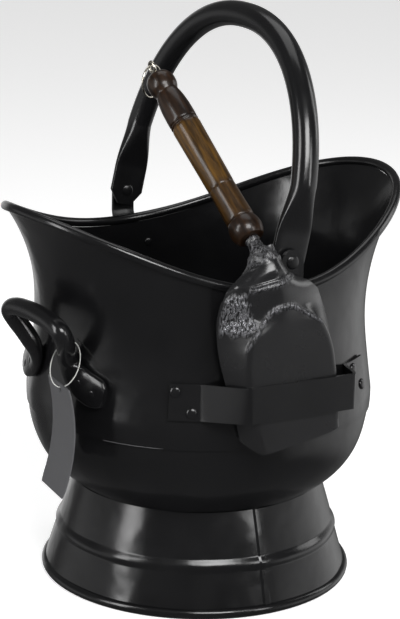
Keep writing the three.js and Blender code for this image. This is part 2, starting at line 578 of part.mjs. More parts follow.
function makeScoop() {
  const group = new THREE.Group();
  group.position.set(SCOOP.x, SCOOP.y, SCOOP.z);
  group.rotation.y = SCOOP.tilt;
  object.add(group);
  add('scoop_blade', sheetBody(bladePoint, 16, 20, SCOOP.thick), paint, group);

  const { r, neckR, below, tangR, tangL } = SHANK;
  const shank = lathe([[0, -below], [r - 1, -below], [r, 1 - below], [r, -15], [neckR, -10], [neckR, -GAP],
    [tangR, -GAP], [tangR, tangL], [0, tangL]], 16);
  add('scoop_shank', aim(shank, gripAxis, gripStart), paint, group);

  const top = GRIP.length;
  const boreR = tangR + GAP;
  const screwBore = EYE.screwR + GAP;
  const outline = [[boreR, 0], [10.5, 0], [13.2, 4], [14, 10], [12.6, 16.5], [11.2, 18], [12.2, 20],
    [11.6, 34], [11.2, 50], [10.6, 51.2], [11.3, 52.4], [11.9, 85], [12.2, 115], [11.5, 117.4], [12.3, 120],
    [12.1, 136], [11, 146], [9.8, 151.5], [12, 157], [12.2, 164], [9.4, 170], [6, top], [screwBore, top],
    [screwBore, top - EYE.screwL - 1], [0, top - EYE.screwL - 1], [0, tangL + 1], [boreR, tangL + 1]];
  add('scoop_grip', aim(lathe(outline, 18), gripAxis, gripStart), wood, group);

  const { screwR, screwL, neckL } = EYE;
  const screwTop = neckL + 0.6; // runs a little way into the loop's wire
  const screw = lathe([[0, -screwL], [screwR, 1 - screwL], [screwR, screwTop], [0, screwTop]], 10);
  const loop = new THREE.TorusGeometry(EYE.ringR, EYE.wireR, 6, 16).rotateY(Math.PI / 2);
  const eye = join(screw, loop.translate(0, 0, neckL + EYE.ringR));
  const eyeSeat = gripStart.clone().addScaledVector(gripAxis, top);
  add('grip_eye', aim(eye, gripAxis, eyeSeat), steel, group);
  return group.localToWorld(eyeSeat.addScaledVector(gripAxis, neckL + EYE.ringR));
}

// ---------------------------------------------------------------- hanging ring
// It hangs from the eye, inside the eye's hole.
function makeHangingRing(eyeCentre) {
  const ring = new THREE.TorusGeometry(RING.r, RING.wireR, 6, 28);
  ring.rotateX(Math.PI / 2).rotateZ(RING.turn);
  const drop = RING.r - EYE.ringR + EYE.wireR + RING.wireR + GAP;
  add('hanging_ring', ring.translate(eyeCentre.x, eyeCentre.y, eyeCentre.z - drop), steel);
}

// ---------------------------------------------------------------- swing tag on its loop
const tagHang = vec(TAG.x, TAG.y, TAG.z);

// A slender ring about the handle's tube. Its lowest point is where the tag hangs.
function makeTagLoop() {
  const major = vec(...LOOP.major).normalize();
  const minor = vec(-major.y, major.x, 0).normalize();
  const normal = major.clone().cross(minor);
  const middle = tagHang.clone().addScaledVector(major, LOOP.halfLength);
  const steps = 22;
  const sides = 6;
  const rings = Array.from({ length: steps }, (_, i) => {
    const turn = (i / steps) * 2 * Math.PI;
    const out = major.clone().multiplyScalar(Math.cos(turn)).addScaledVector(minor, Math.sin(turn));
    const spot = middle.clone().addScaledVector(major, LOOP.halfLength * Math.cos(turn))
      .addScaledVector(minor, LOOP.halfWidth * Math.sin(turn));
    return Array.from({ length: sides }, (_, k) => spot.clone()
      .addScaledVector(out, LOOP.wireR * Math.cos((k / sides) * 2 * Math.PI))
      .addScaledVector(normal, LOOP.wireR * Math.sin((k / sides) * 2 * Math.PI)));
  });
  add('tag_loop', loftBody(rings, true), nylon);
}

// A card with small cut corners, bowed along its height and swept back toward its lower end.
function makeTag() {
  const point = (u, v) => {
    const down = v * TAG.high;
    const corner = Math.max(TAG.chamfer - down, 0) + Math.max(TAG.chamfer - (TAG.high - down), 0);
    const y = lerp(-1, 1, u) * (TAG.wide / 2 - corner);
    const bow = TAG.bow * (1 - (2 * v - 1) ** 2) - TAG.sweep * v ** 2;
    return vec(bow - TAG.bowAtHole, y, TAG.holeDrop - down);
  };
  const punch = hole(vec(0, 0, 0), vec(1, 0, 0), TAG.holeR, 20);
  const body = cut(sheetBody(point, 4, 14, TAG.thick), [punch]);
  add('swing_tag', body.rotateZ(TAG.turn).translate(tagHang.x, tagHang.y, tagHang.z - TAG.slack), card);
}

// ---------------------------------------------------------------- assembly
const wallDrills = [...earHoles(1), ...earHoles(-1), ...strapRivets(), ...tippingRivets()]
  .map(({ place, out }) => hole(place, out, DRILL_R, 12));

makeFoot();
makeBowl();
makeShell(wallDrills);
makeRim();
for (const [name, side] of [['left', 1], ['right', -1]]) {
  makeEar(side, name);
  makePivot(side, name);
}
makeBail();
makeTippingHandle();
makeStrap();
object.updateMatrixWorld(true);
const eyeCentre = makeScoop();
makeHangingRing(eyeCentre);
makeTagLoop();
makeTag();

export default object;
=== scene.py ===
import math

import bmesh
import bpy
import numpy as np
from mathutils import Matrix


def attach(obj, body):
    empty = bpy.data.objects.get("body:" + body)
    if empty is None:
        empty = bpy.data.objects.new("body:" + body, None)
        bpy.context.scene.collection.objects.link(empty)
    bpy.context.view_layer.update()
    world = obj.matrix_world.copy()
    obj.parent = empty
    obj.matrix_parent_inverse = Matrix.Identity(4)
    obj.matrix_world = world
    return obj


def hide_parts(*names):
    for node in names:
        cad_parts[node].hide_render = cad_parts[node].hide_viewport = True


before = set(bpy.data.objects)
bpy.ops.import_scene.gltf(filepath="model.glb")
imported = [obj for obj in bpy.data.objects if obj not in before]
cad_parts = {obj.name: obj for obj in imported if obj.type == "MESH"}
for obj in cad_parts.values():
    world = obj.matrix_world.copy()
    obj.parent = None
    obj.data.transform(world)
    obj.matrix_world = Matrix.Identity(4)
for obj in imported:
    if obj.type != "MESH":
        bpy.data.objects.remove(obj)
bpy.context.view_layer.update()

degree = math.pi / 180
quarter = math.pi / 2
millimetre = 0.001       # every shape below is worked out in millimetres
gap = 0.3                # between pieces that touch
poleR = 0.01             # radius of a turned outline where it closes on its own axis


def linear(hexText):
    # sRGB hex to linear red, green, blue and full alpha
    parts = np.array([int(hexText[i:i + 2], 16) for i in (1, 3, 5)]) / 255
    low, high = parts / 12.92, ((parts + 0.055) / 1.055) ** 2.4
    return (*np.where(parts <= 0.04045, low, high).tolist(), 1.0)


def feed(tree, node, sources):
    # links each source to the node's input of that name or place
    for key, socket in sources.items():
        tree.links.new(socket, node.inputs[key])


def addNode(tree, kind, settings=None, links=None):
    # settings are attributes of the node or values of its inputs, links are sockets that feed its inputs
    node = tree.nodes.new(kind)
    for key, value in (settings or {}).items():
        if isinstance(key, str) and hasattr(node, key):
            setattr(node, key, value)
        else:
            node.inputs[key].default_value = value
    feed(tree, node, links or {})
    return node


def newLook(name, settings):
    # a material with these settings on its shader
    look = bpy.data.materials.new(name)
    look.use_nodes = True
    tree = look.node_tree
    shader = tree.nodes["Principled BSDF"]
    for key, value in settings.items():
        shader.inputs[key].default_value = value
    return look, tree, shader


def perMetre(size):
    return 1000 / size   # a pattern of that size in millimetres, on coordinates in metres


# a Mix node's sockets by their place: two colours and the blended colour, then the same for plain numbers
colourA, colourB, colourOut = 6, 7, 2
numberA, numberB, numberOut = 2, 3, 0
noiseLow, noiseHigh = 0.3, 0.7           # nearly all of a noise pattern lies between these


# satin black stove enamel sprayed on hand-beaten sheet: near black, soft broad highlights, fine orange peel.
# Where its glint attribute is high, bare metallic steel is painted in as a highlight. Sizes and heights are
# in millimetres.
enamel = {"cloudSize": 55.0, "glossSize": 24.0, "dentSize": 42.0, "peelSize": 2.4, "peelHeight": 0.05,
          "glintSteel": "#a0a0a2"}


def enamelLook(name, colours, roughness, dentHeight):
    # colour and roughness drift slowly between their two values, dents and peel are bumps
    look, tree, shader = newLook(name, {"Specular IOR Level": 0.42,
                                        "Coat Weight": 0.12, "Coat Roughness": 0.2})
    place = addNode(tree, "ShaderNodeTexCoord").outputs["Object"]
    noise = {}
    for key, detail in (("cloud", 3), ("gloss", 4), ("dent", 2), ("peel", 2)):
        noise[key] = addNode(tree, "ShaderNodeTexNoise",
                             {"Scale": perMetre(enamel[key + "Size"]), "Detail": detail},
                             {"Vector": place}).outputs["Fac"]
    paint = addNode(tree, "ShaderNodeMix",
                    {"data_type": "RGBA", colourA: linear(colours[0]), colourB: linear(colours[1])},
                    {"Factor": noise["cloud"]})
    # painted highlight: bare metallic steel where the glint attribute is high
    glintShare = addNode(tree, "ShaderNodeAttribute", {"attribute_name": "lap_glint"}).outputs["Fac"]
    steel = addNode(tree, "ShaderNodeMix", {"data_type": "RGBA", colourB: linear(enamel["glintSteel"])},
                    {"Factor": glintShare, colourA: paint.outputs[colourOut]})
    gloss = addNode(tree, "ShaderNodeMapRange", {"From Min": noiseLow, "From Max": noiseHigh,
                                                 "To Min": roughness[0], "To Max": roughness[1]},
                    {"Value": noise["gloss"]})
    dents = addNode(tree, "ShaderNodeBump", {"Strength": 1.0, "Distance": dentHeight * millimetre},
                    {"Height": noise["dent"]})
    peel = addNode(tree, "ShaderNodeBump", {"Strength": 0.6, "Distance": enamel["peelHeight"] * millimetre},
                   {"Height": noise["peel"], "Normal": dents.outputs["Normal"]})
    feed(tree, shader, {"Base Color": steel.outputs[colourOut], "Metallic": glintShare,
                        "Roughness": gloss.outputs["Result"], "Normal": peel.outputs["Normal"]})
    return look


sheetEnamel = enamelLook("satin_enamel_on_sheet", ("#0b0b0c", "#121213"), (0.16, 0.26), 1.5)
tubeEnamel = enamelLook("satin_enamel_on_tube", ("#0c0c0d", "#131314"), (0.17, 0.26), 0.45)


# the same enamel over crumpled and welded sheet on the scoop. Where the attribute wrinkle is high, the grit's
# high spots are painted grey metallic steel as a sparkle highlight. The grit is drawn out along the scoop.
gritAndSparkle = {"gritSize": 1.7, "gritAlong": 0.35, "gritHeight": 3.0, "steel": "#8e8e92", "roughness": 0.13,
           # heights of the grit between which the painted steel highlight comes in, and the most of it
           "sparkleFrom": 0.46, "sparkleTo": 0.56, "mostSparkle": 0.9}


def scoopEnamelLook():
    # bump, painted steel highlight colour, metal and gloss are laid over what already feeds the enamel's
    # shader
    look = enamelLook("satin_enamel_on_beaten_scoop", ("#131314", "#1a1a1b"), (0.2, 0.3), 0.5)
    tree = look.node_tree
    shader = tree.nodes["Principled BSDF"]
    paint, satin, smooth = (shader.inputs[key].links[0].from_socket
                            for key in ("Base Color", "Roughness", "Normal"))
    place = addNode(tree, "ShaderNodeTexCoord").outputs["Object"]
    amount = addNode(tree, "ShaderNodeAttribute", {"attribute_name": "wrinkle"}).outputs["Fac"]
    drawnOut = addNode(tree, "ShaderNodeMapping", {"Scale": (1, 1, gritAndSparkle["gritAlong"])}, {"Vector": place})
    grit = addNode(tree, "ShaderNodeTexNoise",
                   {"Scale": perMetre(gritAndSparkle["gritSize"]), "Detail": 3, "Roughness": 0.6},
                   {"Vector": drawnOut.outputs["Vector"]}).outputs["Fac"]
    height = addNode(tree, "ShaderNodeMath", {"operation": "MULTIPLY"}, {0: grit, 1: amount})
    bump = addNode(tree, "ShaderNodeBump", {"Strength": 1.0, "Distance": gritAndSparkle["gritHeight"] * millimetre},
                   {"Height": height.outputs[0], "Normal": smooth})
    highSpots = addNode(tree, "ShaderNodeMapRange",
                        {"From Min": gritAndSparkle["sparkleFrom"], "From Max": gritAndSparkle["sparkleTo"],
                         "To Max": gritAndSparkle["mostSparkle"]}, {"Value": grit})
    # painted sparkle highlight: grey metallic steel on the grit's high spots where the sheet is wrinkled
    sparkleShare = addNode(tree, "ShaderNodeMath", {"operation": "MULTIPLY"},
                   {0: amount, 1: highSpots.outputs["Result"]}).outputs[0]
    colour = addNode(tree, "ShaderNodeMix", {"data_type": "RGBA", colourB: linear(gritAndSparkle["steel"])},
                     {"Factor": sparkleShare, colourA: paint})
    sheen = addNode(tree, "ShaderNodeMix", {"data_type": "FLOAT", numberB: gritAndSparkle["roughness"]},
                    {"Factor": sparkleShare, numberA: satin})
    feed(tree, shader, {"Base Color": colour.outputs[colourOut], "Metallic": sparkleShare,
                        "Roughness": sheen.outputs[numberOut], "Normal": bump.outputs["Normal"]})
    return look


scoopEnamel = scoopEnamelLook()


# nickel-plated steel wire: bright and smooth, a little warm
nickelPlate = {"colour": "#c8c3b8", "smearSize": 4.0, "roughness": (0.16, 0.3)}


def nickelLook():
    # roughness drifts with faint smears
    look, tree, shader = newLook("nickel_plated_wire",
                                 {"Base Color": linear(nickelPlate["colour"]), "Metallic": 1.0})
    place = addNode(tree, "ShaderNodeTexCoord").outputs["Object"]
    smear = addNode(tree, "ShaderNodeTexNoise", {"Scale": perMetre(nickelPlate["smearSize"]), "Detail": 3},
                    {"Vector": place}).outputs["Fac"]
    gloss = addNode(tree, "ShaderNodeMapRange",
                    {"From Min": noiseLow, "From Max": noiseHigh,
                     "To Min": nickelPlate["roughness"][0], "To Max": nickelPlate["roughness"][1]},
                    {"Value": smear})
    feed(tree, shader, {"Roughness": gloss.outputs["Result"]})
    return look


nickel = nickelLook()


# turned softwood, stained dark at both ends and amber between the grooves, under gloss varnish.
# The attribute turned holds each point's place about the grip's own axis, in metres, so the grain follows it.
varnished = {"stain": ("#140c07", "#27180c"), "amber": ("#2b1c08", "#543a12"), "grainSize": 3.2,
             "fleckSize": 0.9, "grainAlong": 0.09, "fleckHeight": 0.12, "roughness": (0.28, 0.42),
             # values of the grain's noise between which a streak goes from one colour to the other
             "streak": (0.4, 0.62),
             # where amber comes and goes: from and to in millimetres along the grip, share before and after
             "rise": (49.5, 56.5, 0, 1), "fall": (114, 118, 1, 0), "lowerRise": (17, 22, 0, 0.4)}


def woodLook():
    # each stain drifts along the grain between its two colours; the ramps along the grip choose the stain
    look, tree, shader = newLook("varnished_turned_wood", {"Specular IOR Level": 0.22,
                                                           "Coat Weight": 0.3, "Coat Roughness": 0.14})
    own = addNode(tree, "ShaderNodeAttribute", {"attribute_name": "turned"}).outputs["Vector"]
    drawnOut = addNode(tree, "ShaderNodeMapping", {"Scale": (1, 1, varnished["grainAlong"])}, {"Vector": own})
    grain, fleck = (addNode(tree, "ShaderNodeTexNoise",
                            {"Scale": perMetre(varnished[key]), "Detail": detail, "Roughness": rough},
                            {"Vector": drawnOut.outputs["Vector"]}).outputs["Fac"]
                    for key, detail, rough in (("grainSize", 5, 0.65), ("fleckSize", 2, 0.5)))
    along = addNode(tree, "ShaderNodeSeparateXYZ", links={"Vector": own}).outputs["Z"]
    ramps = []
    for key in ("rise", "fall", "lowerRise"):
        low, high, before, after = varnished[key]
        ramp = addNode(tree, "ShaderNodeMapRange",
                       {"From Min": low * millimetre, "From Max": high * millimetre,
                        "To Min": before, "To Max": after}, {"Value": along})
        ramps.append(ramp.outputs["Result"])
    rise = addNode(tree, "ShaderNodeMath", {"operation": "MAXIMUM"}, {0: ramps[0], 1: ramps[2]}).outputs[0]
    amberShare = addNode(tree, "ShaderNodeMath", {"operation": "MULTIPLY"}, {0: rise, 1: ramps[1]}).outputs[0]
    streak = addNode(tree, "ShaderNodeMapRange",
                     {"From Min": varnished["streak"][0], "From Max": varnished["streak"][1]},
                     {"Value": grain})
    stain, amber = (addNode(tree, "ShaderNodeMix", {"data_type": "RGBA", colourA: linear(varnished[key][0]),
                                                    colourB: linear(varnished[key][1])},
                            {"Factor": streak.outputs["Result"]}).outputs[colourOut]
                    for key in ("stain", "amber"))
    colour = addNode(tree, "ShaderNodeMix", {"data_type": "RGBA"},
                     {"Factor": amberShare, colourA: stain, colourB: amber})
    gloss = addNode(tree, "ShaderNodeMapRange",
                    {"From Min": noiseLow, "From Max": noiseHigh,
                     "To Min": varnished["roughness"][0], "To Max": varnished["roughness"][1]},
                    {"Value": fleck})
    bump = addNode(tree, "ShaderNodeBump",
                   {"Strength": 0.5, "Distance": varnished["fleckHeight"] * millimetre}, {"Height": fleck})
    feed(tree, shader, {"Base Color": colour.outputs[colourOut], "Roughness": gloss.outputs["Result"],
                        "Normal": bump.outputs["Normal"]})
    return look


wood = woodLook()


# uncoated dark card, grey all over: matt with a faint paper fibre, drawn coarser than it is so that it shows
darkCard = {"colours": ("#3f3f41", "#505052"), "fibreSize": 1.1, "roughness": (0.5, 0.62)}


def cardLook():
    # the fibre's noise sets both colour and roughness
    look, tree, shader = newLook("dark_uncoated_card", {"Specular IOR Level": 0.4})
    place = addNode(tree, "ShaderNodeTexCoord").outputs["Object"]
    fibre = addNode(tree, "ShaderNodeTexNoise",
                    {"Scale": perMetre(darkCard["fibreSize"]), "Detail": 4, "Roughness": 0.7},
                    {"Vector": place}).outputs["Fac"]
    colour = addNode(tree, "ShaderNodeMix", {"data_type": "RGBA", colourA: linear(darkCard["colours"][0]),
                                             colourB: linear(darkCard["colours"][1])}, {"Factor": fibre})
    matt = addNode(tree, "ShaderNodeMapRange",
                   {"From Min": noiseLow, "From Max": noiseHigh,
                    "To Min": darkCard["roughness"][0], "To Max": darkCard["roughness"][1]}, {"Value": fibre})
    feed(tree, shader, {"Base Color": colour.outputs[colourOut], "Roughness": matt.outputs["Result"]})
    return look


card = cardLook()
# drawn clear nylon thread: pale and half clear
nylon = newLook("clear_nylon_thread", {"Base Color": linear("#d2d2ce"), "Transmission Weight": 0.35,
                                       "Roughness": 0.25, "IOR": 1.53})[0]
print("materials made")


def gridFaces(countU, countV, closeU=False, closeV=False):
    # quads between neighbours of a grid that is stored row by row
    a, b = np.meshgrid(np.arange(countU if closeU else countU - 1),
                       np.arange(countV if closeV else countV - 1), indexing="ij")
    nextA, nextB = (a + 1) % countU, (b + 1) % countV
    quads = [a * countV + b, nextA * countV + b, nextA * countV + nextB, a * countV + nextB]
    return np.stack(quads, -1).reshape(-1, 4).tolist()


def makePiece(name, points, faces, look, body, node, values=None, sharpAngle=32):
    # points in millimetres; the faces are turned outwards by the sign of the volume they close
    mesh = bpy.data.meshes.new(name)
    mesh.from_pydata((points * millimetre).tolist(), [], faces)
    for key, array in (values or {}).items():
        kind, field = ("FLOAT", "value") if array.ndim == 1 else ("FLOAT_VECTOR", "vector")
        mesh.attributes.new(key, kind, "POINT").data.foreach_set(field, array.astype(np.float32).ravel())
    shape = bmesh.new()
    shape.from_mesh(mesh)
    bmesh.ops.remove_doubles(shape, verts=shape.verts, dist=1e-7)
    if shape.calc_volume(signed=True) < 0:
        bmesh.ops.reverse_faces(shape, faces=shape.faces)
    shape.to_mesh(mesh)
    shape.free()
    mesh.polygons.foreach_set("use_smooth", np.ones(len(mesh.polygons), bool))
    mesh.set_sharp_from_angle(angle=sharpAngle * degree)
    mesh.materials.append(look)
    piece = bpy.data.objects.new(name, mesh)
    bpy.context.scene.collection.objects.link(piece)
    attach(piece, body)
    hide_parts(node)
    return piece


def makePainted(name, points, faces, look, body, node, values=None, sharpAngle=32):
    # a painted piece, made just as makePiece makes it
    return makePiece(name, points, faces, look, body, node, values, sharpAngle)


def bevelEdges(piece, width, segments=2):
    # rounds every edge that turns more than 50 degrees
    bevel = piece.modifiers.new("edges", "BEVEL")
    bevel.width = width * millimetre
    bevel.segments = segments
    bevel.limit_method = "ANGLE"
    bevel.angle_limit = 50 * degree


def unit(vectors):
    # each vector divided by its length
    return vectors / np.maximum(np.linalg.norm(vectors, axis=-1, keepdims=True), 1e-12)


def mix(a, b, share):
    # a straight line from a at share 0 to b at share 1
    return a + (b - a) * share


def ease(x, low, high):
    # rises from 0 at low to 1 at high along a cubic that is level at both ends
    share = np.clip((np.asarray(x, float) - low) / (high - low), 0, 1)
    return share * share * (3 - 2 * share)


def ridge(x, width):
    # a bell curve, 1 at x = 0
    return np.exp(-(x / width) ** 2)


def waves(table, across, along):
    # a sum of sines; each row is a size, radians per unit across, millimetres along for a radian, and a phase
    return sum(size * np.sin(pace * across + along / length + phase) for size, pace, length, phase in table)


def turns(count):
    # that many angles, evenly round one full turn
    return np.arange(count) / count * 2 * np.pi


def rotated(a, b, angle):
    # two coordinates turned in their own plane
    return a * math.cos(angle) - b * math.sin(angle), a * math.sin(angle) + b * math.cos(angle)


def smoothLine(points, perSpan):
    # Catmull-Rom curve through points, perSpan steps between neighbours
    p = np.array(points, float)
    padded = np.concatenate([[2 * p[0] - p[1]], p, [2 * p[-1] - p[-2]]])
    t = (np.arange(perSpan) / perSpan)[:, None]
    spans = []
    for a, b, c, d in zip(padded, padded[1:], padded[2:], padded[3:]):
        bent = (2 * a - 5 * b + 4 * c - d) * t ** 2 + (3 * b - a - 3 * c + d) * t ** 3
        spans.append(0.5 * (2 * b + (c - a) * t + bent))
    return np.concatenate([*spans, p[-1:]])


def aimed(points, direction, place):
    # turns points built about +Z so that +Z follows direction, then moves them to place
    direction = unit(np.array(direction, float))
    upright = abs(direction[2]) > 0.9999
    side = np.array([1.0, 0, 0]) if upright else unit(np.cross([0.0, 0.0, 1.0], direction))
    return points @ np.stack([side, np.cross(direction, side), direction]) + np.array(place, float)


def sheetShell(grid, thickness, closeU=False):
    # both faces of a sheet about the middle surface grid[u, v], joined round its edges into one closed skin
    if closeU:
        alongU = np.roll(grid, -1, 0) - np.roll(grid, 1, 0)
    else:
        alongU = np.gradient(grid, axis=0)
    offset = unit(np.cross(alongU, np.gradient(grid, axis=1))) * thickness / 2
    loop = np.concatenate([grid + offset, (grid - offset)[:, ::-1]], axis=1)
    countU, countV = loop.shape[:2]
    faces = gridFaces(countU, countV, closeU, True)
    if not closeU:
        j = np.arange(countV // 2 - 1)
        ends = np.stack([j, j + 1, countV - 2 - j, countV - 1 - j], -1)
        faces += ends.tolist() + ((countU - 1) * countV + ends[:, ::-1]).tolist()
    return loop.reshape(-1, 3), faces


def tubeSkin(centres, wide, thin, halfWide, halfThin, square, sides=24):
    # a superellipse carried along centres, in the plane of the directions wide and thin, both ends capped
    c, s = np.cos(turns(sides)), np.sin(turns(sides))
    count = len(centres)
    power = np.broadcast_to(square, count)[:, None]
    a = np.sign(c) * np.abs(c) ** power * np.broadcast_to(halfWide, count)[:, None]
    b = np.sign(s) * np.abs(s) ** power * np.broadcast_to(halfThin, count)[:, None]
    rings = centres[:, None] + wide[:, None] * a[..., None] + thin[:, None] * b[..., None]
    last = (count - 1) * sides
    caps = [list(range(sides))[::-1], list(range(last, last + sides))]
    return rings.reshape(-1, 3), gridFaces(count, sides, False, True) + caps


def closedTube(centres, wide, thin, radius, sides=16):
    # a round tube along a closed line
    c, s = np.cos(turns(sides))[:, None], np.sin(turns(sides))[:, None]
    rings = centres[:, None] + radius * (wide[:, None] * c + thin[:, None] * s)
    return rings.reshape(-1, 3), gridFaces(len(centres), sides, True, True)


def roundTube(radius, wire, around, sides):
    # a torus about +Z
    turn = turns(around)
    out = np.stack([np.cos(turn), np.sin(turn), 0 * turn], -1)
    return closedTube(out * radius, out, np.broadcast_to([0.0, 0, 1], out.shape), wire, sides)


def lathed(outline, sides=64):
    # an outline of radius and height turned about +Z, its first and last points on the axis
    radius, height = np.array(outline, float).T
    turn = turns(sides)[:, None]
    grid = np.stack([radius * np.cos(turn), radius * np.sin(turn), height + 0 * turn], -1)
    return grid, gridFaces(sides, len(radius), True, False)


def revolved(outline, angles, lift):
    # a closed outline of radius and height turned about +Z; lift(angle, radius, height) gives the new radius
    radius, height = np.array(outline, float).T
    turn = np.asarray(angles)[:, None]
    r = radius[None] + lift(turn, radius[None], height[None])
    grid = np.stack([r * np.cos(turn), r * np.sin(turn), height[None] + 0 * turn], -1)
    return grid.reshape(-1, 3), gridFaces(len(angles), len(radius), True, True)


fullTurn = turns(288)


# angles in degrees, lengths in metres; the lens is given as a focal length in pixels of the frame's height
view = {"azimuth": -29.5, "elevation": 15.6, "distance": 2.018, "roll": 1.3, "across": -0.0001,
        "height": 0.2329, "focalPixels": 2329, "sensor": 36.0, "framePixels": 619}


def makeCamera():
    # the camera stands back from its target along the line of sight and is rolled about its own axis
    a, e, roll = (view[key] * degree for key in ("azimuth", "elevation", "roll"))
    back = np.array([math.sin(a) * math.cos(e), -math.cos(a) * math.cos(e), math.sin(e)])
    right = np.array([math.cos(a), math.sin(a), 0])
    place = right * view["across"] + np.array([0, 0, view["height"]]) + back * view["distance"]
    up, right = rotated(np.cross(back, right), right, roll)
    data = bpy.data.cameras.new("camera")
    data.sensor_width = view["sensor"]
    data.lens = view["focalPixels"] / view["framePixels"] * view["sensor"]
    camera = bpy.data.objects.new("camera", data)
    matrix = np.eye(4)
    matrix[:3, 0], matrix[:3, 1], matrix[:3, 2], matrix[:3, 3] = right, up, back, place
    camera.matrix_world = Matrix(matrix.tolist())
    bpy.context.scene.collection.objects.link(camera)
    bpy.context.scene.camera = camera


makeCamera()


ground = {"half": 9.0, "colour": "#e6e6e6", "glow": 0.62}        # half its side in metres


def makeFloor():
    # pale and matt; it glows a little so that it stays pale, and polished pieces don't mirror it
    mesh = bpy.data.meshes.new("floor")
    half = ground["half"]
    corners = [(-half, -half, 0), (half, -half, 0), (half, half, 0), (-half, half, 0)]
    mesh.from_pydata(corners, [], [(0, 1, 2, 3)])
    look = newLook("pale_floor", {"Base Color": linear(ground["colour"]), "Roughness": 0.9,
                                  "Specular IOR Level": 0.1, "Emission Color": linear("#ffffff"),
                                  "Emission Strength": ground["glow"]})[0]
    mesh.materials.append(look)
    floor = bpy.data.objects.new("floor", mesh)
    floor.visible_glossy = False
    bpy.context.scene.collection.objects.link(floor)


makeFloor()


# each softbox: the direction it hangs in, metres from the middle of the object, its size in metres, its watts
lamps = {"left_softbox": {"azimuth": 184, "elevation": 20, "distance": 1.9, "size": (0.5, 1.3), "power": 17},
         "front_softbox": {"azimuth": -70, "elevation": 20, "distance": 2.2, "size": (0.4, 1.0), "power": 9},
         "high_softbox": {"azimuth": -102, "elevation": 40, "distance": 2.2, "size": (1.1, 0.8), "power": 38},
         "right_softbox": {"azimuth": -8, "elevation": 24, "distance": 2.2, "size": (0.6, 1.2), "power": 6},
         "top_softbox": {"azimuth": 60, "elevation": 75, "distance": 2.0, "size": (1.4, 1.4), "power": 9}}
lampTarget = (0, 0, 0.2)


def toward(azimuth, elevation):
    # the unit vector at these angles in degrees, azimuth counted from +X toward +Y
    a, e = azimuth * degree, elevation * degree
    return np.array([math.cos(a) * math.cos(e), math.sin(a) * math.cos(e), math.sin(e)])


def makeLamps():
    # each lamp faces the target, its height upright
    for name, lamp in lamps.items():
        out = toward(lamp["azimuth"], lamp["elevation"])
        data = bpy.data.lights.new(name, "AREA")
        data.shape = "RECTANGLE"
        data.size, data.size_y = lamp["size"]
        data.energy = lamp["power"]
        right = unit(np.cross([0, 0, 1.0], out))
        matrix = np.eye(4)
        matrix[:3, 0], matrix[:3, 1], matrix[:3, 2] = right, np.cross(out, right), out
        matrix[:3, 3] = np.array(lampTarget) + out * lamp["distance"]
        light = bpy.data.objects.new(name, data)
        light.matrix_world = Matrix(matrix.tolist())
        bpy.context.scene.collection.objects.link(light)


makeLamps()


# the walls of the studio as soft glows on a dim room: where each is, how far it spreads, how bright it is.
# A direction's rise is the sine of its climb; a glow is full within bright of its middle and gone at dark.
glows = [{"azimuth": -10, "spread": 62, "strength": 0.9},
         {"azimuth": 78, "spread": 28, "strength": 0.9},
         {"azimuth": 150, "spread": 42, "strength": 0.45}]
room = {"light": 0.1, "middle": -0.15, "bright": 0.12, "dark": 0.45}


def makeWorld():
    # white behind the object, and the dim room with its glows for everything that the object mirrors
    world = bpy.data.worlds.new("studio")
    bpy.context.scene.world = world
    world.use_nodes = True
    tree = world.node_tree
    tree.nodes.clear()
    direction = addNode(tree, "ShaderNodeTexCoord").outputs["Generated"]
    rise = addNode(tree, "ShaderNodeSeparateXYZ", {}, {"Vector": direction}).outputs["Z"]
    off = addNode(tree, "ShaderNodeMath", {"operation": "SUBTRACT", 1: room["middle"]}, {0: rise}).outputs[0]
    away = addNode(tree, "ShaderNodeMath", {"operation": "ABSOLUTE"}, {0: off}).outputs[0]
    inBand = addNode(tree, "ShaderNodeMapRange", {"From Min": room["dark"], "From Max": room["bright"]},
                     {"Value": away}).outputs["Result"]
    total = None
    for glow in glows:
        facing = addNode(tree, "ShaderNodeVectorMath",
                         {"operation": "DOT_PRODUCT", 1: toward(glow["azimuth"], 0).tolist()}, {0: direction})
        share = addNode(tree, "ShaderNodeMapRange",
                        {"interpolation_type": "SMOOTHSTEP", "From Min": math.cos(glow["spread"] * degree),
                         "To Max": glow["strength"]}, {"Value": facing.outputs["Value"]})
        lit = addNode(tree, "ShaderNodeMath", {"operation": "MULTIPLY_ADD", 2: room["light"]},
                      {0: share.outputs["Result"], 1: inBand})
        if total is not None:
            feed(tree, lit, {2: total})
        total = lit.outputs[0]
    dim = addNode(tree, "ShaderNodeBackground", {"Color": linear("#ffffff")}, {"Strength": total})
    white = addNode(tree, "ShaderNodeBackground", {"Color": linear("#ffffff"), "Strength": 1.0})
    seen = addNode(tree, "ShaderNodeLightPath").outputs["Is Camera Ray"]
    both = addNode(tree, "ShaderNodeMixShader", {}, {0: seen, 1: dim.outputs[0], 2: white.outputs[0]})
    addNode(tree, "ShaderNodeOutputWorld", {}, {"Surface": both.outputs[0]})
    bpy.context.scene.view_settings.view_transform = "Standard"


makeWorld()
print("camera, floor and light made")


bucket = {"sheet": 1.5, "lowZ": 155.0, "lowR": 149.2, "bellyZ": 170.0, "bellyR": 149.3, "drawnIn": 13.8,
          "waistPower": 1.8, "flarePower": 3.2,
          # the lower edge is pressed on to the bowl, up to this height
          "hug": 0.35, "hugZ": 161.0,
          # height of the dents, their waves, and the shares of the wall's height over which they come and go
          "dent": 0.55, "dentsIn": (0.04, 0.3), "dentsOut": (0.85, 1),
          "dentWaves": ((0.5, 3, 33, 0), (0.3, 7, -21, 1.3), (0.25, 11, 15, 0.4), (0.2, 5, -12, quarter)),
          # degrees over which the painted highlight along the lap's edge comes and goes, its least share, its
          # waves
          "glintFrom": (209, 211), "glintTo": (226, 230), "glintLeast": 0.4, "glintWaves": 2.1}
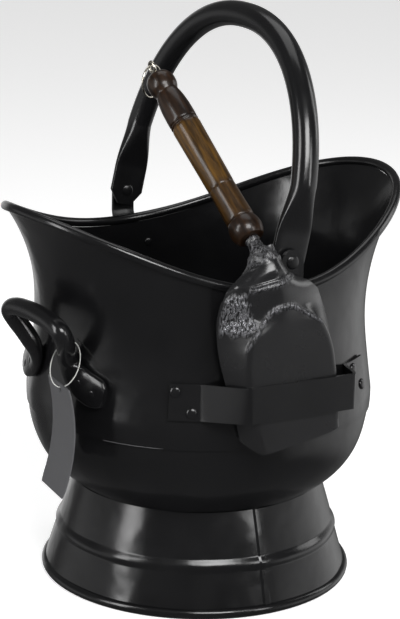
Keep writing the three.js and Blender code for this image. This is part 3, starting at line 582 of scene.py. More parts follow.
# the rim's radius and height are a mean and waves that repeat once, twice and four times in a turn
rim = {"r": (153.5, 21.0, 3.5), "z": (311.5, 3.0, 29.5, 2.2), "twist": 5.2 * degree, "wireR": 4.0,
       "above": 0.2}


def rimAt(angle):
    # radius and height of the rim: a saddle with lips at front and back, its back turned a few degrees
    t = angle - rim["twist"] * (1 - np.cos(angle)) / 2
    r = rim["r"][0] + rim["r"][1] * np.cos(2 * t) + rim["r"][2] * np.cos(4 * t)
    z = rim["z"][0] + rim["z"][1] * np.cos(t) + rim["z"][2] * np.cos(2 * t) + rim["z"][3] * np.cos(4 * t)
    return r, z


def wallR(angle, z):
    # a short straight belly, a drawn-in waist, then a flare out to the rim
    angle, z = np.broadcast_arrays(np.asarray(angle, float), np.asarray(z, float))
    rimR, rimZ = rimAt(angle)
    bellyR, bellyZ, drawnIn = bucket["bellyR"], bucket["bellyZ"], bucket["drawnIn"]
    straight = mix(bucket["lowR"], bellyR, (z - bucket["lowZ"]) / (bellyZ - bucket["lowZ"]))
    u = np.clip((z - bellyZ) / (rimZ - bellyZ), 0, 1)
    taper = drawnIn * (1 - (1 - u) ** bucket["waistPower"])
    flared = bellyR - taper + (rimR - bellyR + drawnIn) * u ** bucket["flarePower"]
    return np.where(z < bellyZ, straight, flared)


def wallPoint(angle, z, extra=0):
    # the point of the wall's middle surface at this angle and height, moved out by extra
    r = wallR(angle, z) + extra
    return np.stack([r * np.cos(angle), r * np.sin(angle), z + 0 * r], -1)


def wallNormal(angle, z):
    # outward, from small steps in radians across and in millimetres up the wall
    stepAcross, stepUp = 0.01, 0.5
    across = wallPoint(angle + stepAcross, z) - wallPoint(angle - stepAcross, z)
    up = wallPoint(angle, z + stepUp) - wallPoint(angle, z - stepUp)
    return unit(np.cross(across, up))


def offWall(angle, z, lift):
    # a point that stands lift off the wall's outside
    out = bucket["sheet"] / 2 + np.asarray(lift, float)[..., None]
    return wallPoint(angle, z) + wallNormal(angle, z) * out


def makeBucketWall():
    # the wall from the lap up to the rim's wire, with slow dents that fade at both edges and a painted
    # highlight along the lap's edge
    angle = fullTurn[:, None]
    rimZ = rimAt(angle)[1]
    slopeStep = 3
    slope = (wallR(angle, rimZ) - wallR(angle, rimZ - slopeStep)) / slopeStep
    topZ = rimZ - (rim["wireR"] + rim["above"]) / np.hypot(1, slope)
    share = np.concatenate([[0, 0.004], np.linspace(0.012, 1, 56)])[None]   # close rows keep the painted highlight thin
    z = mix(bucket["lowZ"], topZ, share)
    dents = bucket["dent"] * waves(bucket["dentWaves"], angle, z)
    dents = dents * ease(share, *bucket["dentsIn"]) * (1 - ease(share, *bucket["dentsOut"]))
    hug = bucket["hug"] * (1 - ease(z, bucket["lowZ"], bucket["hugZ"]))
    points, faces = sheetShell(wallPoint(angle, z, dents - hug), bucket["sheet"], True)
    around = angle / degree
    # painted highlight: bare steel on the lap's lowest edge, over a short span of the turn
    glintShare = ease(around, *bucket["glintFrom"]) * (1 - ease(around, *bucket["glintTo"])) * (share == 0)
    glintShare = glintShare * mix(bucket["glintLeast"], 1, 0.5 + 0.5 * np.sin(around * bucket["glintWaves"]))
    makePainted("bucket_wall", points, faces, sheetEnamel, "scuttle", "upper_shell",
                {"lap_glint": np.concatenate([glintShare, glintShare[:, ::-1]], 1).ravel()})


def makeRim():
    # a round wire along the rim
    r, z = rimAt(fullTurn)
    centres = np.stack([r * np.cos(fullTurn), r * np.sin(fullTurn), z], -1)
    along = unit(np.roll(centres, -1, 0) - np.roll(centres, 1, 0))
    out = np.stack([np.cos(fullTurn), np.sin(fullTurn), 0 * fullTurn], -1)
    side = unit(out - along * (out * along).sum(-1, keepdims=True))
    points, faces = closedTube(centres, side, np.cross(along, side), rim["wireR"])
    makePainted("rolled_rim", points, faces, sheetEnamel, "scuttle", "rim_bead")


makeBucketWall()
makeRim()


bowl = {"floorZ": 86.5, "topZ": 162.0, "topR": 148.1, "reach": 102.0, "power": 2.54, "floorInset": 6.0,
        "rowPower": 0.85,                # below 1, the grid's rows lie closer toward the floor
        # height of the dents and their waves; they come with the radius and go toward the lap
        "dent": 0.45, "dentWaves": ((1, 4, 19, 0), (0.6, 9, -13, quarter)), "dentR": (60, 120),
        "dentZ": (140, 156)}


def bowlDents(angle, radius, height):
    # crossed waves that fade toward the floor and toward the lap
    fade = ease(radius, *bowl["dentR"]) * (1 - ease(height, *bowl["dentZ"]))
    return bowl["dent"] * waves(bowl["dentWaves"], angle, height) * fade


def makeBowl():
    # outside: radius falls from the top as a superellipse; inside: a sheet thinner, over a flat floor
    z = mix(bowl["topZ"], bowl["floorZ"], np.linspace(0, 1, 40) ** bowl["rowPower"])
    r = bowl["topR"] * np.sqrt(1 - ((bowl["topZ"] - z) / bowl["reach"]) ** bowl["power"])
    floorTop = bowl["floorZ"] + bucket["sheet"]
    under = [(r[-1] * share, bowl["floorZ"]) for share in (0.95, 0.7, 0.4, 0.0)]
    over = [((r[-1] - bowl["floorInset"]) * share, floorTop) for share in (0.0, 0.4, 0.7, 1.0)]
    inside = list(zip(r[::-1] - bucket["sheet"], np.maximum(z, floorTop)[::-1]))[2:]
    points, faces = revolved(list(zip(r, z)) + under + over + inside, fullTurn, bowlDents)
    makePainted("lower_bowl_sheet", points, faces, sheetEnamel, "scuttle", "lower_bowl")


foot = {"beadR": 4.5, "beadPathR": 131.5, "lowZ": 8.55, "lowR": 132.1, "topR": 108.6, "topZ": 86.2,
        # one swaged ring: height, how far it stands out, half its width, its power, its share on the inside
        "swageZ": 43.0, "swageH": 1.8, "swageHalf": 5.5, "swagePower": 1.3, "swageInside": 0.8,
        # the lap seam: direction, height, and millimetres from it over which it rises and falls
        "seamAngle": -91.2 * degree, "seamH": 0.8, "seamRise": (-4.1, -1.9), "seamFall": (2.2, 2.9),
        "dent": 0.35, "dentWaves": ((1, 5, 17, 0), (0.5, 12, math.inf, quarter))}


def lapSeam(angle, radius, height):
    # the folded seam stands proud of the outside, with a steep edge on its right, among slow dents
    off = (angle - foot["seamAngle"]) * radius
    fold = ease(off, *foot["seamRise"]) * (1 - ease(off, *foot["seamFall"]))
    return foot["seamH"] * fold + foot["dent"] * waves(foot["dentWaves"], angle, height)


def makeFoot():
    # a cone of sheet over a round wire, with a ring swaged out as a power of a cosine; ring and seam are fine
    z = np.unique(np.concatenate([np.linspace(foot["lowZ"], foot["topZ"], 30),
                                  foot["swageZ"] + np.linspace(-7, 7, 24)]))
    cone = mix(foot["lowR"], foot["topR"], (z - foot["lowZ"]) / (foot["topZ"] - foot["lowZ"]))
    away = np.clip(np.abs(z - foot["swageZ"]) / foot["swageHalf"], 0, 1)
    swage = foot["swageH"] * np.cos(away * quarter) ** foot["swagePower"]
    inner = cone - bucket["sheet"] + swage * foot["swageInside"]
    nearSeam = foot["seamAngle"] + np.linspace(-4, 4, 60) * degree
    angles = np.unique(np.concatenate([fullTurn - np.pi, nearSeam]))
    points, faces = revolved(list(zip(cone + swage, z)) + list(zip(inner[::-1], z[::-1])), angles, lapSeam)
    makePainted("foot_sheet", points, faces, sheetEnamel, "scuttle", "foot_skirt")
    points, faces = roundTube(foot["beadPathR"], foot["beadR"], len(fullTurn), 16)
    makePainted("foot_wire_roll", points + [0, 0, foot["beadR"]], faces, sheetEnamel, "scuttle", "foot_bead")


makeBowl()
makeFoot()
print("bucket and foot made")


rivet = {"headR": 4.6, "headH": 2.0, "pinR": 2.4, "tailR": 3.8, "tailH": 1.6, "seat": 0.15}
tailSeat, tailPower, headPower = 0.15, 0.7, 0.8      # powers below 1 make a dome fuller than a ball


def makeRivet(name, place, out, grip, size=rivet):
    # a domed head, a straight shank through grip millimetres of metal and a flattened tail, turned about out
    low = -grip - tailSeat
    t = np.linspace(0, 1, 9) * quarter
    tail = np.stack([size["tailR"] * np.sin(t), low - size["tailH"] * np.cos(t) ** tailPower], -1)
    head = np.stack([size["headR"] * np.cos(t), size["seat"] + size["headH"] * np.sin(t) ** headPower], -1)
    shank = [(size["pinR"], low), (size["pinR"], size["seat"])]
    grid, faces = lathed(np.concatenate([tail, shank, head]), 32)
    makePainted(name + "_domed", aimed(grid.reshape(-1, 3), out, place), faces, tubeEnamel, "scuttle", name)


ear = {"thick": 3.0, "y": 147.8, "tabW": 21.0, "footW": 56.0, "footZ": 248.0, "footTopZ": 268.0,
       "tabZ": 292.0, "rivetX": 20.0, "rivetZ": 261.0,
       # the foot's cut corners, the heights between which it narrows, the least half width of the tab's top
       "cornerW": 3.0, "cornerZ": 252.0, "narrows": (270, 286), "tipHalf": 2.0,
       "rowPower": 1.6, "edge": 0.9}     # above 1, the tab's rows lie closer toward its round top
pivot = {"z": 310.0, "pinR": 4.0, "headR": 5.6, "headH": 1.4, "tailR": 5.2, "tailH": 1.4, "seat": 0.2}


def makeEar(side, name):
    # a wide foot that follows the wall, narrowing and stepping out round the rim to a round upright tab
    half = ear["tabW"] / 2
    tabTop = pivot["z"] + half - gap
    z = np.concatenate([np.linspace(ear["footZ"], ear["tabZ"], 36),
                        tabTop - (tabTop - ear["tabZ"]) * np.linspace(1, 0, 26)[1:] ** ear["rowPower"]])[None]
    tip = np.sqrt(np.maximum(half ** 2 - np.maximum(z - pivot["z"], 0) ** 2, ear["tipHalf"] ** 2))
    footHalf = ear["footW"] / 2 - ear["cornerW"] * (1 - ease(z, ear["footZ"], ear["cornerZ"]))
    x = np.linspace(-1, 1, 21)[:, None] * mix(footHalf, tip, ease(z, *ear["narrows"]))
    angle = side * (quarter + np.arcsin(x / wallR(quarter, z)))
    onWall = offWall(angle, z + 0 * x, gap + ear["thick"] / 2 + 0 * x)
    onWall[..., 0] = -x
    tab = np.stack([-x, side * ear["y"] + 0 * x, z + 0 * x], -1)
    grid = mix(onWall, tab, ease(z, ear["footTopZ"], ear["tabZ"])[..., None])
    points, faces = sheetShell(grid, ear["thick"])
    piece = makePainted("bail_ear_" + name, points, faces, sheetEnamel, "scuttle", "ear_" + name)
    bevelEdges(piece, ear["edge"], 3)
    for end in (-1, 1):
        turn = side * quarter + math.asin(end * ear["rivetX"] / float(wallR(side * quarter, ear["rivetZ"])))
        out = wallNormal(turn, ear["rivetZ"])
        place = wallPoint(turn, ear["rivetZ"]) + out * (bucket["sheet"] / 2 + gap + ear["thick"])
        makeRivet(f"ear_rivet_{name}_{'a' if end * side > 0 else 'b'}", place, out,
                  bucket["sheet"] + gap + ear["thick"])


def makePivot(side, name):
    # a headed pin from the ear's outside to the bail's inside
    face = ear["y"] + ear["thick"] / 2
    makeRivet("bail_pivot_" + name, (0, side * face, pivot["z"]), (0, side, 0),
              face - (bail["flatY"] - bail["flatT"] / 2), pivot)


# heights of the bail are counted from its pivots; below cornerZ the flat ends' corners are cut off
bail = {"lean": 12 * degree, "tubeR": 10.8, "flatW": 31.5, "flatT": 5.0, "flatY": 141.0, "halfSpan": 146.0,
        "rise": 169.0, "archZ": 12.0, "power": 2.2, "tipZ": -13.0, "cornerZ": -1.0, "cornerCut": 0.75,
        "flatEndZ": 20.0, "roundZ": 62.0, "square": 0.35}


def makeBail():
    # a superellipse arch between two straight legs; its section goes from a flat strip at the ends to a tube
    firstTurn = math.asin(((bail["roundZ"] - bail["archZ"]) / bail["rise"]) ** (bail["power"] / 2))
    turn = np.linspace(firstTurn, np.pi - firstTurn, 90)
    c, s = np.cos(turn), np.sin(turn)
    arch = np.stack([0 * turn, bail["halfSpan"] * np.sign(c) * np.abs(c) ** (2 / bail["power"]),
                     bail["archZ"] + bail["rise"] * s ** (2 / bail["power"])], -1)
    z = np.concatenate([np.linspace(bail["tipZ"], bail["cornerZ"], 12),
                        np.linspace(bail["cornerZ"], bail["roundZ"], 44)[1:-1]])
    y = mix(bail["flatY"], arch[0, 1], ease(z, bail["flatEndZ"], bail["roundZ"]))
    leg = np.stack([0 * z, y, z], -1)
    path = np.concatenate([leg, arch, (leg * [1, -1, 1])[::-1]])
    along = unit(np.gradient(path, axis=0))
    wide = np.broadcast_to([1.0, 0, 0], path.shape)
    turned = ease(path[:, 2], bail["flatEndZ"], bail["roundZ"])
    tip = bail["flatW"] / 2 - bail["cornerCut"] * np.maximum(bail["cornerZ"] - path[:, 2], 0)
    halfWide = mix(tip, bail["tubeR"], turned)
    halfThin = mix(bail["flatT"] / 2, bail["tubeR"], turned)
    points, faces = tubeSkin(path, wide, unit(np.cross(along, wide)), halfWide, halfThin,
                             mix(bail["square"], 1, turned), 36)
    up, x = rotated(points[:, 2], points[:, 0], bail["lean"])
    points = np.stack([x, points[:, 1], up + pivot["z"]], -1)
    makePainted("bail_bent_tube", points, faces, tubeEnamel, "bail", "bail_tube")


makeBail()
for name, side in (("left", 1), ("right", -1)):
    makeEar(side, name)
    makePivot(side, name)
print("bail and ears made")


# a tube bent to an open loop, its ends crushed flat and splayed on the wall
tipping = {"turn": 5.5 * degree, "tubeR": 8.0, "plateW": 27.0, "plateT": 7.0, "square": 0.6,
           # degrees from the back, height, distance off the wall, share crushed flat, share of the width
           "stops": ((24.6, 193.2, 0, 1, 0.55), (23.2, 193.5, 0, 1, 0.85), (19.5, 194.8, 0, 1, 1),
                     (15.2, 198.8, 0, 1, 1), (12.4, 204.5, 0, 0.85, 1), (10.9, 211, 0.5, 0.45, 1),
                     (10.6, 217.5, 2, 0.1, 1), (11.8, 226, 6.5, 0, 1), (13.6, 237, 13.5, 0, 1),
                     (13.8, 246, 18, 0, 1), (12, 251.5, 18, 0, 1), (8.5, 254.8, 16.3, 0, 1),
                     (4.3, 256.2, 15, 0, 1), (0, 256.8, 14.6, 0, 1)),
           # degrees from the back and height of each rivet, and how far they sink into the crushed ends
           "rivets": (("low", 20, 192.5), ("high", 14.4, 199.5)), "sink": 1.0}
tippingRivet = {**rivet, "headR": 4.0, "headH": 1.4}


def makeTippingHandle():
    # a smooth line through the stops and their mirror image, with a section that goes from flat to round
    half = np.array(tipping["stops"], float)
    other = half[-2::-1] * [-1, 1, 1, 1, 1]
    fromBack, z, off, flat, width = smoothLine(np.concatenate([half, other]), 6).T
    angle = np.pi + tipping["turn"] - fromBack * degree
    flat = np.clip(flat, 0, 1)
    halfThin = mix(tipping["tubeR"], tipping["plateT"] / 2, flat)
    halfWide = mix(tipping["tubeR"], tipping["plateW"] / 2, flat) * np.clip(width, 0, 1)
    path = offWall(angle, z, gap + halfThin + np.maximum(off, 0))
    along = unit(np.gradient(path, axis=0))
    out = wallNormal(angle, z)
    thin = unit(out - along * (out * along).sum(-1, keepdims=True))
    points, faces = tubeSkin(path, np.cross(along, thin), thin, halfWide, halfThin,
                             mix(1, tipping["square"], flat), 30)
    makePainted("tipping_bent_tube", points, faces, tubeEnamel, "scuttle", "tipping_handle")
    seat = bucket["sheet"] / 2 + gap + tipping["plateT"] - tipping["sink"]
    for sideName, sideSign in (("left", 1), ("right", -1)):
        for level, spot, height in tipping["rivets"]:
            turn = np.pi + tipping["turn"] - sideSign * spot * degree
            out = wallNormal(turn, height)
            makeRivet(f"tipping_rivet_{sideName}_{level}", wallPoint(turn, height) + out * seat, out,
                      bucket["sheet"] / 2 + seat, tippingRivet)


makeTippingHandle()


# a flat bar bent round the scoop; feet and rivets are at these degrees from the front
strap = {"thick": 2.5, "high": 30.0, "edge": 0.5, "panelX": (-51, -46, -15, 15, 45, 50), "panelY": -172.75,
         "panelZ": 202.0, "footZ": 195.0, "backFoot": (-128.7, -118.0), "frontFoot": (-62.5, -49.5),
         "rivets": (("back", -126.8, -121.4), ("front", -57.8, -52.4)), "rivetRise": 8.5, "rounding": 3}


def strapFoot(span, drop):
    # lines across the strap that lie on the wall
    angle = np.linspace(*span, 9)[:, None] * degree
    spot = drop[None] + 0 * angle
    return offWall(angle, strap["footZ"] + spot, gap + strap["thick"] / 2 + 0 * spot)


def makeStrap():
    # a line in plan, foot, leg, panel, leg, foot, repeated at each height; cutting its corners rounds them
    drop = np.linspace(-0.5, 0.5, 9) * strap["high"]
    x = np.array(strap["panelX"], float)[:, None]
    panel = np.stack([x + 0 * drop, strap["panelY"] + 0 * x * drop, strap["panelZ"] + drop + 0 * x], -1)
    line = np.concatenate([strapFoot(strap["backFoot"], drop), panel, strapFoot(strap["frontFoot"], drop)])
    for _ in range(strap["rounding"]):
        cuts = np.stack([mix(line[:-1], line[1:], 0.25), mix(line[:-1], line[1:], 0.75)], 1)
        line = np.concatenate([line[:1], cuts.reshape(-1, *line.shape[1:]), line[-1:]])
    points, faces = sheetShell(line, strap["thick"])
    piece = makePainted("strap_bracket", points, faces, tubeEnamel, "scuttle", "scoop_bracket")
    bevelEdges(piece, strap["edge"])
    for name, highSpot, lowSpot in strap["rivets"]:
        for level, spot, way in (("high", highSpot, 1), ("low", lowSpot, -1)):
            turn, z = spot * degree, strap["footZ"] + way * strap["rivetRise"]
            out = wallNormal(turn, z)
            place = wallPoint(turn, z) + out * (bucket["sheet"] / 2 + gap + strap["thick"])
            makeRivet(f"bracket_rivet_{name}_{level}", place, out, bucket["sheet"] + gap + strap["thick"])


makeStrap()
print("handle and bracket made")


# distances along the scoop, called s, run up its middle line from the tip
scoop = {"place": (1.5, -171.0, 161.5), "tilt": -10.2 * degree, "thick": 2.0, "tipZ": 2.5, "bendStart": 131.4,
         "bendR": 40.0, "lean": 47.8 * degree, "socketLength": 8.0, "socketR": 10.8,
         # half widths of the whole blade and of its flat floor
         "halfW": 51.0, "tipHalfW": 43.5, "widestAt": 90, "neckHalf": 12.0,
         "floorHalf": 40.0, "tipFloorHalf": 36.0, "floorWidestAt": 40, "arch": (66, 122), "neckFloor": 7.0,
         "edgeDepth": 22.0, "backDepth": 25.0, "deepens": (60, 110),
         # the fold between floor and wall opens to a dome over these distances
         "foldRound": 0.012, "foldOpens": 0.2, "domed": (100, 126), "domePower": 1.7,
         # the tip's corners rise from this share of the half width, up to this share of the length
         "cornerFrom": 0.3, "cornerTo": 0.45,
         "unevenWaves": ((0.25, 3, 17, 0),), "uneven": (60, 90), "edge": 0.4}
# toward the ear the scoop is beaten shallower and narrower, and its free side has a full shoulder
earSide = {"socket": (118, 162), "shoulder": (80, 164), "beaten": (104, 130), "depth": 14.5, "width": 0.92,
           "corner": 20}
freeSide = {"socket": (145, 180), "shoulder": (84, 180), "beaten": (110, 150), "depth": 18.0, "width": 1.0,
            "corner": 9}
gripStart = (0.0, 40.0, 169.9)           # where the neck meets the grip, in the scoop's own frame
gripAxis = np.array([0, math.sin(scoop["lean"]), math.cos(scoop["lean"])])


def fromScoop(points):
    # the scoop's own frame stands on its place, turned about Y by its tilt
    x, y, z = np.moveaxis(np.asarray(points, float), -1, 0)
    z, x = rotated(z, x, scoop["tilt"])
    return np.stack([x, y, z], -1) + scoop["place"]


def fallAway(s, low, high):
    # falls from 1 to 0 as a quarter of an ellipse does
    return np.sqrt(np.maximum(1 - (np.maximum(s - low, 0) / (high - low)) ** 2, 0))


def bladeHalf(s, share, half):
    # how far across and inward the sheet lies on one side; share is 0 on the middle line and 1 at the edge
    beatenIn = ease(s, *half["beaten"])
    socket = ease(s, *half["socket"])
    domed = ease(s, *scoop["domed"])
    shoulder = fallAway(s, *half["shoulder"]) * mix(1, half["width"], beatenIn)
    tapered = mix(scoop["tipHalfW"], scoop["halfW"], ease(s, 0, scoop["widestAt"]))
    halfW = np.maximum(np.minimum(scoop["halfW"] * shoulder, tapered), scoop["neckHalf"])
    taperedFloor = mix(scoop["tipFloorHalf"], scoop["floorHalf"], ease(s, 0, scoop["floorWidestAt"]))
    archedFloor = scoop["floorHalf"] * fallAway(s, *scoop["arch"])
    floorHalf = np.maximum(np.minimum(archedFloor, taperedFloor), scoop["neckFloor"])
    fullDepth = mix(scoop["edgeDepth"], scoop["backDepth"], ease(s, *scoop["deepens"]))
    depth = mix(fullDepth, half["depth"], beatenIn)
    past = share - 0.5                       # the fold is halfway, a hyperbola, so it is rounded
    folded = past + np.sqrt(past ** 2 + (scoop["foldRound"] + scoop["foldOpens"] * domed) ** 2)
    flatAcross = floorHalf * (share - folded / 2) * 2 + (halfW - floorHalf) * folded
    onWall = mix(folded, share ** scoop["domePower"], domed)
    across = mix(flatAcross, halfW * share, domed)
    turn = share * quarter
    a = mix(across, scoop["socketR"] * np.sin(turn), socket)
    inwards = mix(depth * onWall, scoop["socketR"] * (1 - np.cos(turn)), socket)
    return a, inwards, socket


# u runs across the scoop from 0 at its free edge to 1 at the edge by the ear
crumpled = {"from": (103, 108), "to": (134, 143), "fromEdge": (0.01, 0.05), "toMiddle": (0.18, 0.26),
            "slant": 0.0024, "slantFrom": 116, "height": 0.4, "sunk": 0.1,
            # the waves that make the border ragged, along and across
            "raggedWaves": ((1.0, 70, math.inf, 0), (0.8, 41, math.inf, 2)),
            "innerWaves": ((0.012, 0, 2.3, 0), (0.01, 0, 1.4, 1)),
            # two sets of creases: share, waves and width of each crease
            "creases": ((1, ((1, 26, 5.2, 0),), 0.35), (0.7, ((1, -31, 3.4, 1),), 0.4))}
# a ridge beaten along the floor's arch: below the arch's top, falling to the sides, widening and ending there
archRidge = {"below": 1.5, "falls": 22, "reach": 0.52, "power": 3.2, "width": 2.0, "widens": 1.5,
             "ends": (0.5, 0.58), "height": 0.55, "grain": 0.35}
# the tongue is the shank's flattened end, welded on: a double step at its edge, a puddle of weld, then lumps
tongue = {"edge": 139.5, "turnsUp": 60, "turnsUpAt": 0.24, "turnsUpPower": 1.3, "slant": 7,
          "step": (-0.6, 1.0), "rise": 1.2, "beads": ((0.7, 0.8), (0.6, 4)), "beadsFrom": 0.2,
          "puddle": 1.6, "puddleFrom": (6, 13), "puddleWidth": 0.28, "weld": 1.3, "weldFrom": (158, 162),
          "deepest": -0.4}
# the arch's grains: radians along and across, how far each wave is bent, and the waves that bend it
grains = {"along": 1.3, "across": 61, "alongBend": 2, "acrossBend": 1.7, "bentAcross": 23, "bentAlong": 0.5}
# the weld's lumps: millimetres along for a radian and radians across, for each of three waves
lumpy = {"first": (2.6, 3.1), "second": (9, 9.5), "third": (1.7, 7), "thirdSize": 0.5}
# how much each part adds to the wrinkle and so to the painted sparkle, beside the crumpled shoulder; the
# beads' share lies past their edge
wrinkled = {"arch": 0.9, "beads": 0.3, "beadsAt": 1.5, "beadsWidth": 2.4, "weld": 0.2}


def archGrains(s, u):
    # two crossed waves, each bent by another, from 0 to 1
    along = np.sin(s * grains["along"] + grains["alongBend"] * np.sin(grains["bentAcross"] * u))
    across = np.sin(u * grains["across"] + grains["acrossBend"] * np.sin(grains["bentAlong"] * s))
    return 0.5 + 0.5 * along * across


def weldLumps(s, u, side, share):
    # the first wave crossed with the second, which differ on the two sides, plus the third
    first, second, third = (lumpy[key] for key in ("first", "second", "third"))
    crossed = np.sin(s / first[0] + first[1] * side * share) * np.cos(second[1] * share - s / second[0])
    return crossed + lumpy["thirdSize"] * np.cos(s / third[0] + third[1] * u)


def scoopRelief(s, u, side, share):
    # outward relief and how wrinkled the sheet is, which also sets its painted sparkle: both are sums for the
    # crumpled shoulder, arch and welds
    ragged = s + waves(crumpled["raggedWaves"], u, s)
    inner = u + waves(crumpled["innerWaves"], u, s) + crumpled["slant"] * (s - crumpled["slantFrom"])
    crumple = ease(ragged, *crumpled["from"]) * (1 - ease(ragged, *crumpled["to"]))
    crumple = crumple * ease(u, *crumpled["fromEdge"]) * (1 - ease(inner, *crumpled["toMiddle"])) * (side < 0)
    creases = sum(part * ridge(waves(table, u, s), width) for part, table, width in crumpled["creases"])
    relief = crumple * (crumpled["height"] * creases - crumpled["sunk"])
    archTop = scoop["arch"][1] - archRidge["below"]
    archLine = archTop - archRidge["falls"] * (share / archRidge["reach"]) ** archRidge["power"]
    arch = ridge(s - archLine, archRidge["width"] + archRidge["widens"] * share)
    arch = arch * (1 - ease(share, *archRidge["ends"]))
    relief = relief + arch * (archRidge["height"] + archRidge["grain"] * archGrains(s, u))
    bend = np.maximum(tongue["turnsUpAt"] - u, 0) ** tongue["turnsUpPower"]
    bend = bend / tongue["turnsUpAt"] ** (tongue["turnsUpPower"] - 1)
    past = s - tongue["edge"] - tongue["turnsUp"] * bend - tongue["slant"] * np.maximum(u - 0.5, 0)
    beaded = u > tongue["beadsFrom"]
    beads = sum(part * ridge(past - at, 1.0) for part, at in tongue["beads"])
    step = ease(past, *tongue["step"]) + beaded * beads
    puddle = ease(past, *tongue["puddleFrom"]) * ridge(u - 0.5, tongue["puddleWidth"])
    weld = ease(s, *tongue["weldFrom"])
    lumps = np.maximum(weldLumps(s, u, side, share), tongue["deepest"])
    relief = relief + tongue["rise"] * step + tongue["puddle"] * puddle + tongue["weld"] * weld * lumps
    beadGrain = beaded * ridge(past - wrinkled["beadsAt"], wrinkled["beadsWidth"])
    wrinkle = crumple + wrinkled["arch"] * arch + wrinkled["beads"] * beadGrain + wrinkled["weld"] * weld
    return relief, np.clip(wrinkle, 0, 1)


def makeBlade():
    # a straight middle line bent over to the handle; the sheet lies about it as bladeHalf says
    bendEnd = scoop["bendStart"] + scoop["bendR"] * scoop["lean"]
    u, v = np.linspace(0, 1, 97)[:, None], np.linspace(0, 1, 300)[None]
    s = mix(scoop["tipZ"], bendEnd + scoop["socketLength"], v)
    side, share = np.sign(u - 0.5), np.abs(2 * u - 1)
    byEar, free = bladeHalf(s, share, earSide), bladeHalf(s, share, freeSide)
    a, inwards, socket = (np.where(side > 0, *pair) for pair in zip(byEar, free))
    rise = np.where(side > 0, earSide["corner"], freeSide["corner"])
    corner = rise * (np.maximum(share - scoop["cornerFrom"], 0) / (1 - scoop["cornerFrom"])) ** 2
    corner = corner * np.maximum(1 - v / scoop["cornerTo"], 0)
    relief, wrinkle = scoopRelief(s, u, side, share)
    uneven = waves(scoop["unevenWaves"], u, s) * ease(s, *scoop["uneven"]) * (1 - socket)
    inwards = inwards - relief + uneven
    bend = np.clip((s - scoop["bendStart"]) / scoop["bendR"], 0, scoop["lean"])
    past = np.maximum(s - bendEnd, 0)
    y = scoop["thick"] / 2 + scoop["bendR"] * (1 - np.cos(bend)) + past * np.sin(bend)
    z = np.minimum(s, scoop["bendStart"]) + scoop["bendR"] * np.sin(bend) + past * np.cos(bend)
    grid = np.stack([side * a + 0 * s, y + np.cos(bend) * inwards, z - np.sin(bend) * inwards + corner], -1)
    points, faces = sheetShell(grid, scoop["thick"])
    piece = makePainted("scoop_beaten_blade", fromScoop(points), faces, scoopEnamel, "scoop", "scoop_blade",
                        {"wrinkle": np.concatenate([wrinkle, wrinkle[:, ::-1]], 1).ravel()}, 40)
    bevelEdges(piece, scoop["edge"])


# radius and height below the grip; the lumps' waves are size, waves round, millimetres up and phase
neck = {"outline": ((poleR, -24), (8.4, -24), (9.3, -22.5), (9.2, -15), (6.6, -10.5), (5.9, -5), (6, -0.4),
                    (poleR, -0.4)),
        "lumpWaves": ((0.35, 4, 1.9, 0), (0.3, 7, -1.2, 1)), "lumpsAbove": -0.3, "lumpDepth": 1 / 9,
        # the lumps grow between these radii, so both flat ends stay flat
        "skin": (2, 7), "wrinkle": 0.25}


def makeNeck():
    # a welded stub between blade and grip: round, with lumps of weld as crossed waves
    grid, faces = lathed(smoothLine(neck["outline"], 10))
    x, y, z = np.moveaxis(grid, -1, 0)
    onSkin = ease(np.hypot(x, y), *neck["skin"])
    lumps = np.maximum(waves(neck["lumpWaves"], np.arctan2(y, x), z) - neck["lumpsAbove"], 0)
    grid[..., :2] *= (1 - lumps * onSkin * neck["lumpDepth"])[..., None]
    # the wrinkle also sets painted sparkle highlights on the lumps
    wrinkle = neck["wrinkle"] * ease(np.hypot(grid[..., 0], grid[..., 1]), *neck["skin"])
    points = fromScoop(aimed(grid.reshape(-1, 3), gripAxis, gripStart))
    makePainted("scoop_welded_neck", points, faces, scoopEnamel, "scoop", "scoop_shank",
                {"wrinkle": wrinkle.ravel()}, 40)


# radius and height of the turned outside, and of the bores for the tang and the eye's screw
grip = {"length": 172.0,
        "outline": ((4.4, 0), (10.4, 0), (12.2, 1.8), (13.6, 5.5), (14, 9.5), (13.2, 14), (12.1, 17),
                    (11.2, 18), (12, 19.6), (11.9, 26), (11.6, 34), (11.35, 49.8), (10.7, 51.2), (11.4, 52.6),
                    (11.7, 70), (11.9, 85), (12.2, 108), (12.25, 115.4), (11.5, 117.2), (12.3, 118.9),
                    (11.6, 120.6), (12.3, 122.4), (12.1, 136), (11, 146), (10, 150.5), (10.2, 152.5),
                    (11.8, 156.5), (12.3, 161), (11.8, 165.5), (9.4, 169.6), (6, 171.6), (1.9, 172)),
        "bores": ((1.9, 154.5), (poleR, 154.5), (poleR, 33.2), (4.4, 33), (4.4, 0))}


def makeGrip():
    # the outline and the bores turned about the grip's axis; the last point is the first, which closes it
    grid, faces = lathed([*smoothLine(grip["outline"], 5), *grip["bores"]], 72)
    turned = grid.reshape(-1, 3)
    makePiece("turned_wood_grip", fromScoop(aimed(turned, gripAxis, gripStart)), faces, wood, "scoop",
              "scoop_grip", {"turned": turned * millimetre}, 40)


# radius and height of the eye's screw, from its point up
eye = {"ringR": 4.6, "wireR": 1.4, "neck": 3.0,
       "screw": ((poleR, -15.8), (1.3, -15), (1.4, 0.2), (2.6, 0.4), (2.7, 1.0), (1.5, 1.5), (1.4, 3.4),
                 (poleR, 3.5))}
ring = {"r": 13.5, "wireR": 0.9, "turn": 27 * degree}


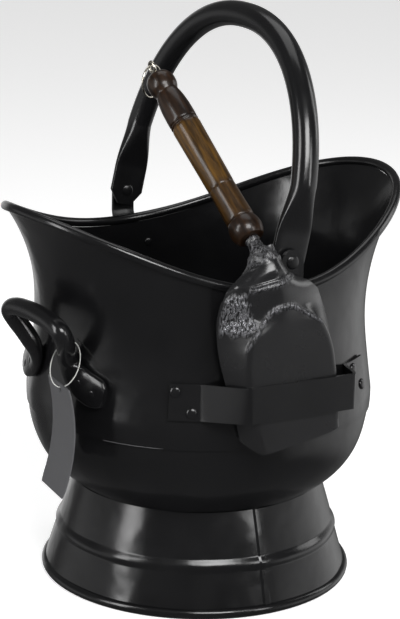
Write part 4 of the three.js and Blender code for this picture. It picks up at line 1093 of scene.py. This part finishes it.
def makeEyeAndRing():
    # a small ring on a screw in the grip's end, and a wire ring that hangs in it by its own weight
    seat = np.array(gripStart) + gripAxis * grip["length"]
    eyeTop = eye["neck"] + eye["ringR"]
    loop, loopFaces = roundTube(eye["ringR"], eye["wireR"], 48, 14)
    loop = loop[:, [2, 0, 1]] + [0, 0, eyeTop]
    screw, screwFaces = lathed(eye["screw"], 24)
    points = np.concatenate([loop, screw.reshape(-1, 3)])
    faces = loopFaces + (np.array(screwFaces) + len(loop)).tolist()
    points = fromScoop(aimed(points, gripAxis, seat))
    makePiece("grip_screw_eye", points, faces, nickel, "scoop", "grip_eye")
    hang = fromScoop(seat + gripAxis * eyeTop)
    drop = ring["r"] - eye["ringR"] + eye["wireR"] + ring["wireR"] + gap
    points, faces = roundTube(ring["r"], ring["wireR"], 72, 12)
    x, y = rotated(points[:, 0], points[:, 2], ring["turn"])
    points = np.stack([x, y, points[:, 1] - drop], -1) + hang
    makePiece("hanging_wire_ring", points, faces, nickel, "ring", "hanging_ring")


makeBlade()
makeNeck()
makeGrip()
makeEyeAndRing()
print("scoop made")


# the loop is an ellipse from the point where it hangs, along the direction major
tagLoop = {"hang": (-164.0, -61.0, 202.0), "major": (0.476, 0.542, 0.694), "halfLong": 22.0, "halfWide": 12.0,
           "wireR": 0.45}


def makeTagLoop():
    # a round thread along the ellipse
    major = unit(np.array(tagLoop["major"]))
    minor = unit(np.array([-major[1], major[0], 0]))
    turn = turns(72)[:, None]
    centres = np.array(tagLoop["hang"]) + major * tagLoop["halfLong"] * (1 + np.cos(turn))
    centres = centres + minor * tagLoop["halfWide"] * np.sin(turn)
    along = unit(np.roll(centres, -1, 0) - np.roll(centres, 1, 0))
    flat = np.broadcast_to(np.cross(major, minor), along.shape)
    points, faces = closedTube(centres, np.cross(along, flat), flat, tagLoop["wireR"], 10)
    makePiece("nylon_tag_loop", points, faces, nylon, "scuttle", "tag_loop")


makeTagLoop()


def dressNode(name, look):
    # a solid whose own shape is right gets a better material
    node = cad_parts[name]
    node.data.materials.clear()
    node.data.materials.append(look)


dressNode("swing_tag", card)
for side in ("left", "right"):
    dressNode("bail_washer_" + side, tubeEnamel)
print("tag and washers made")
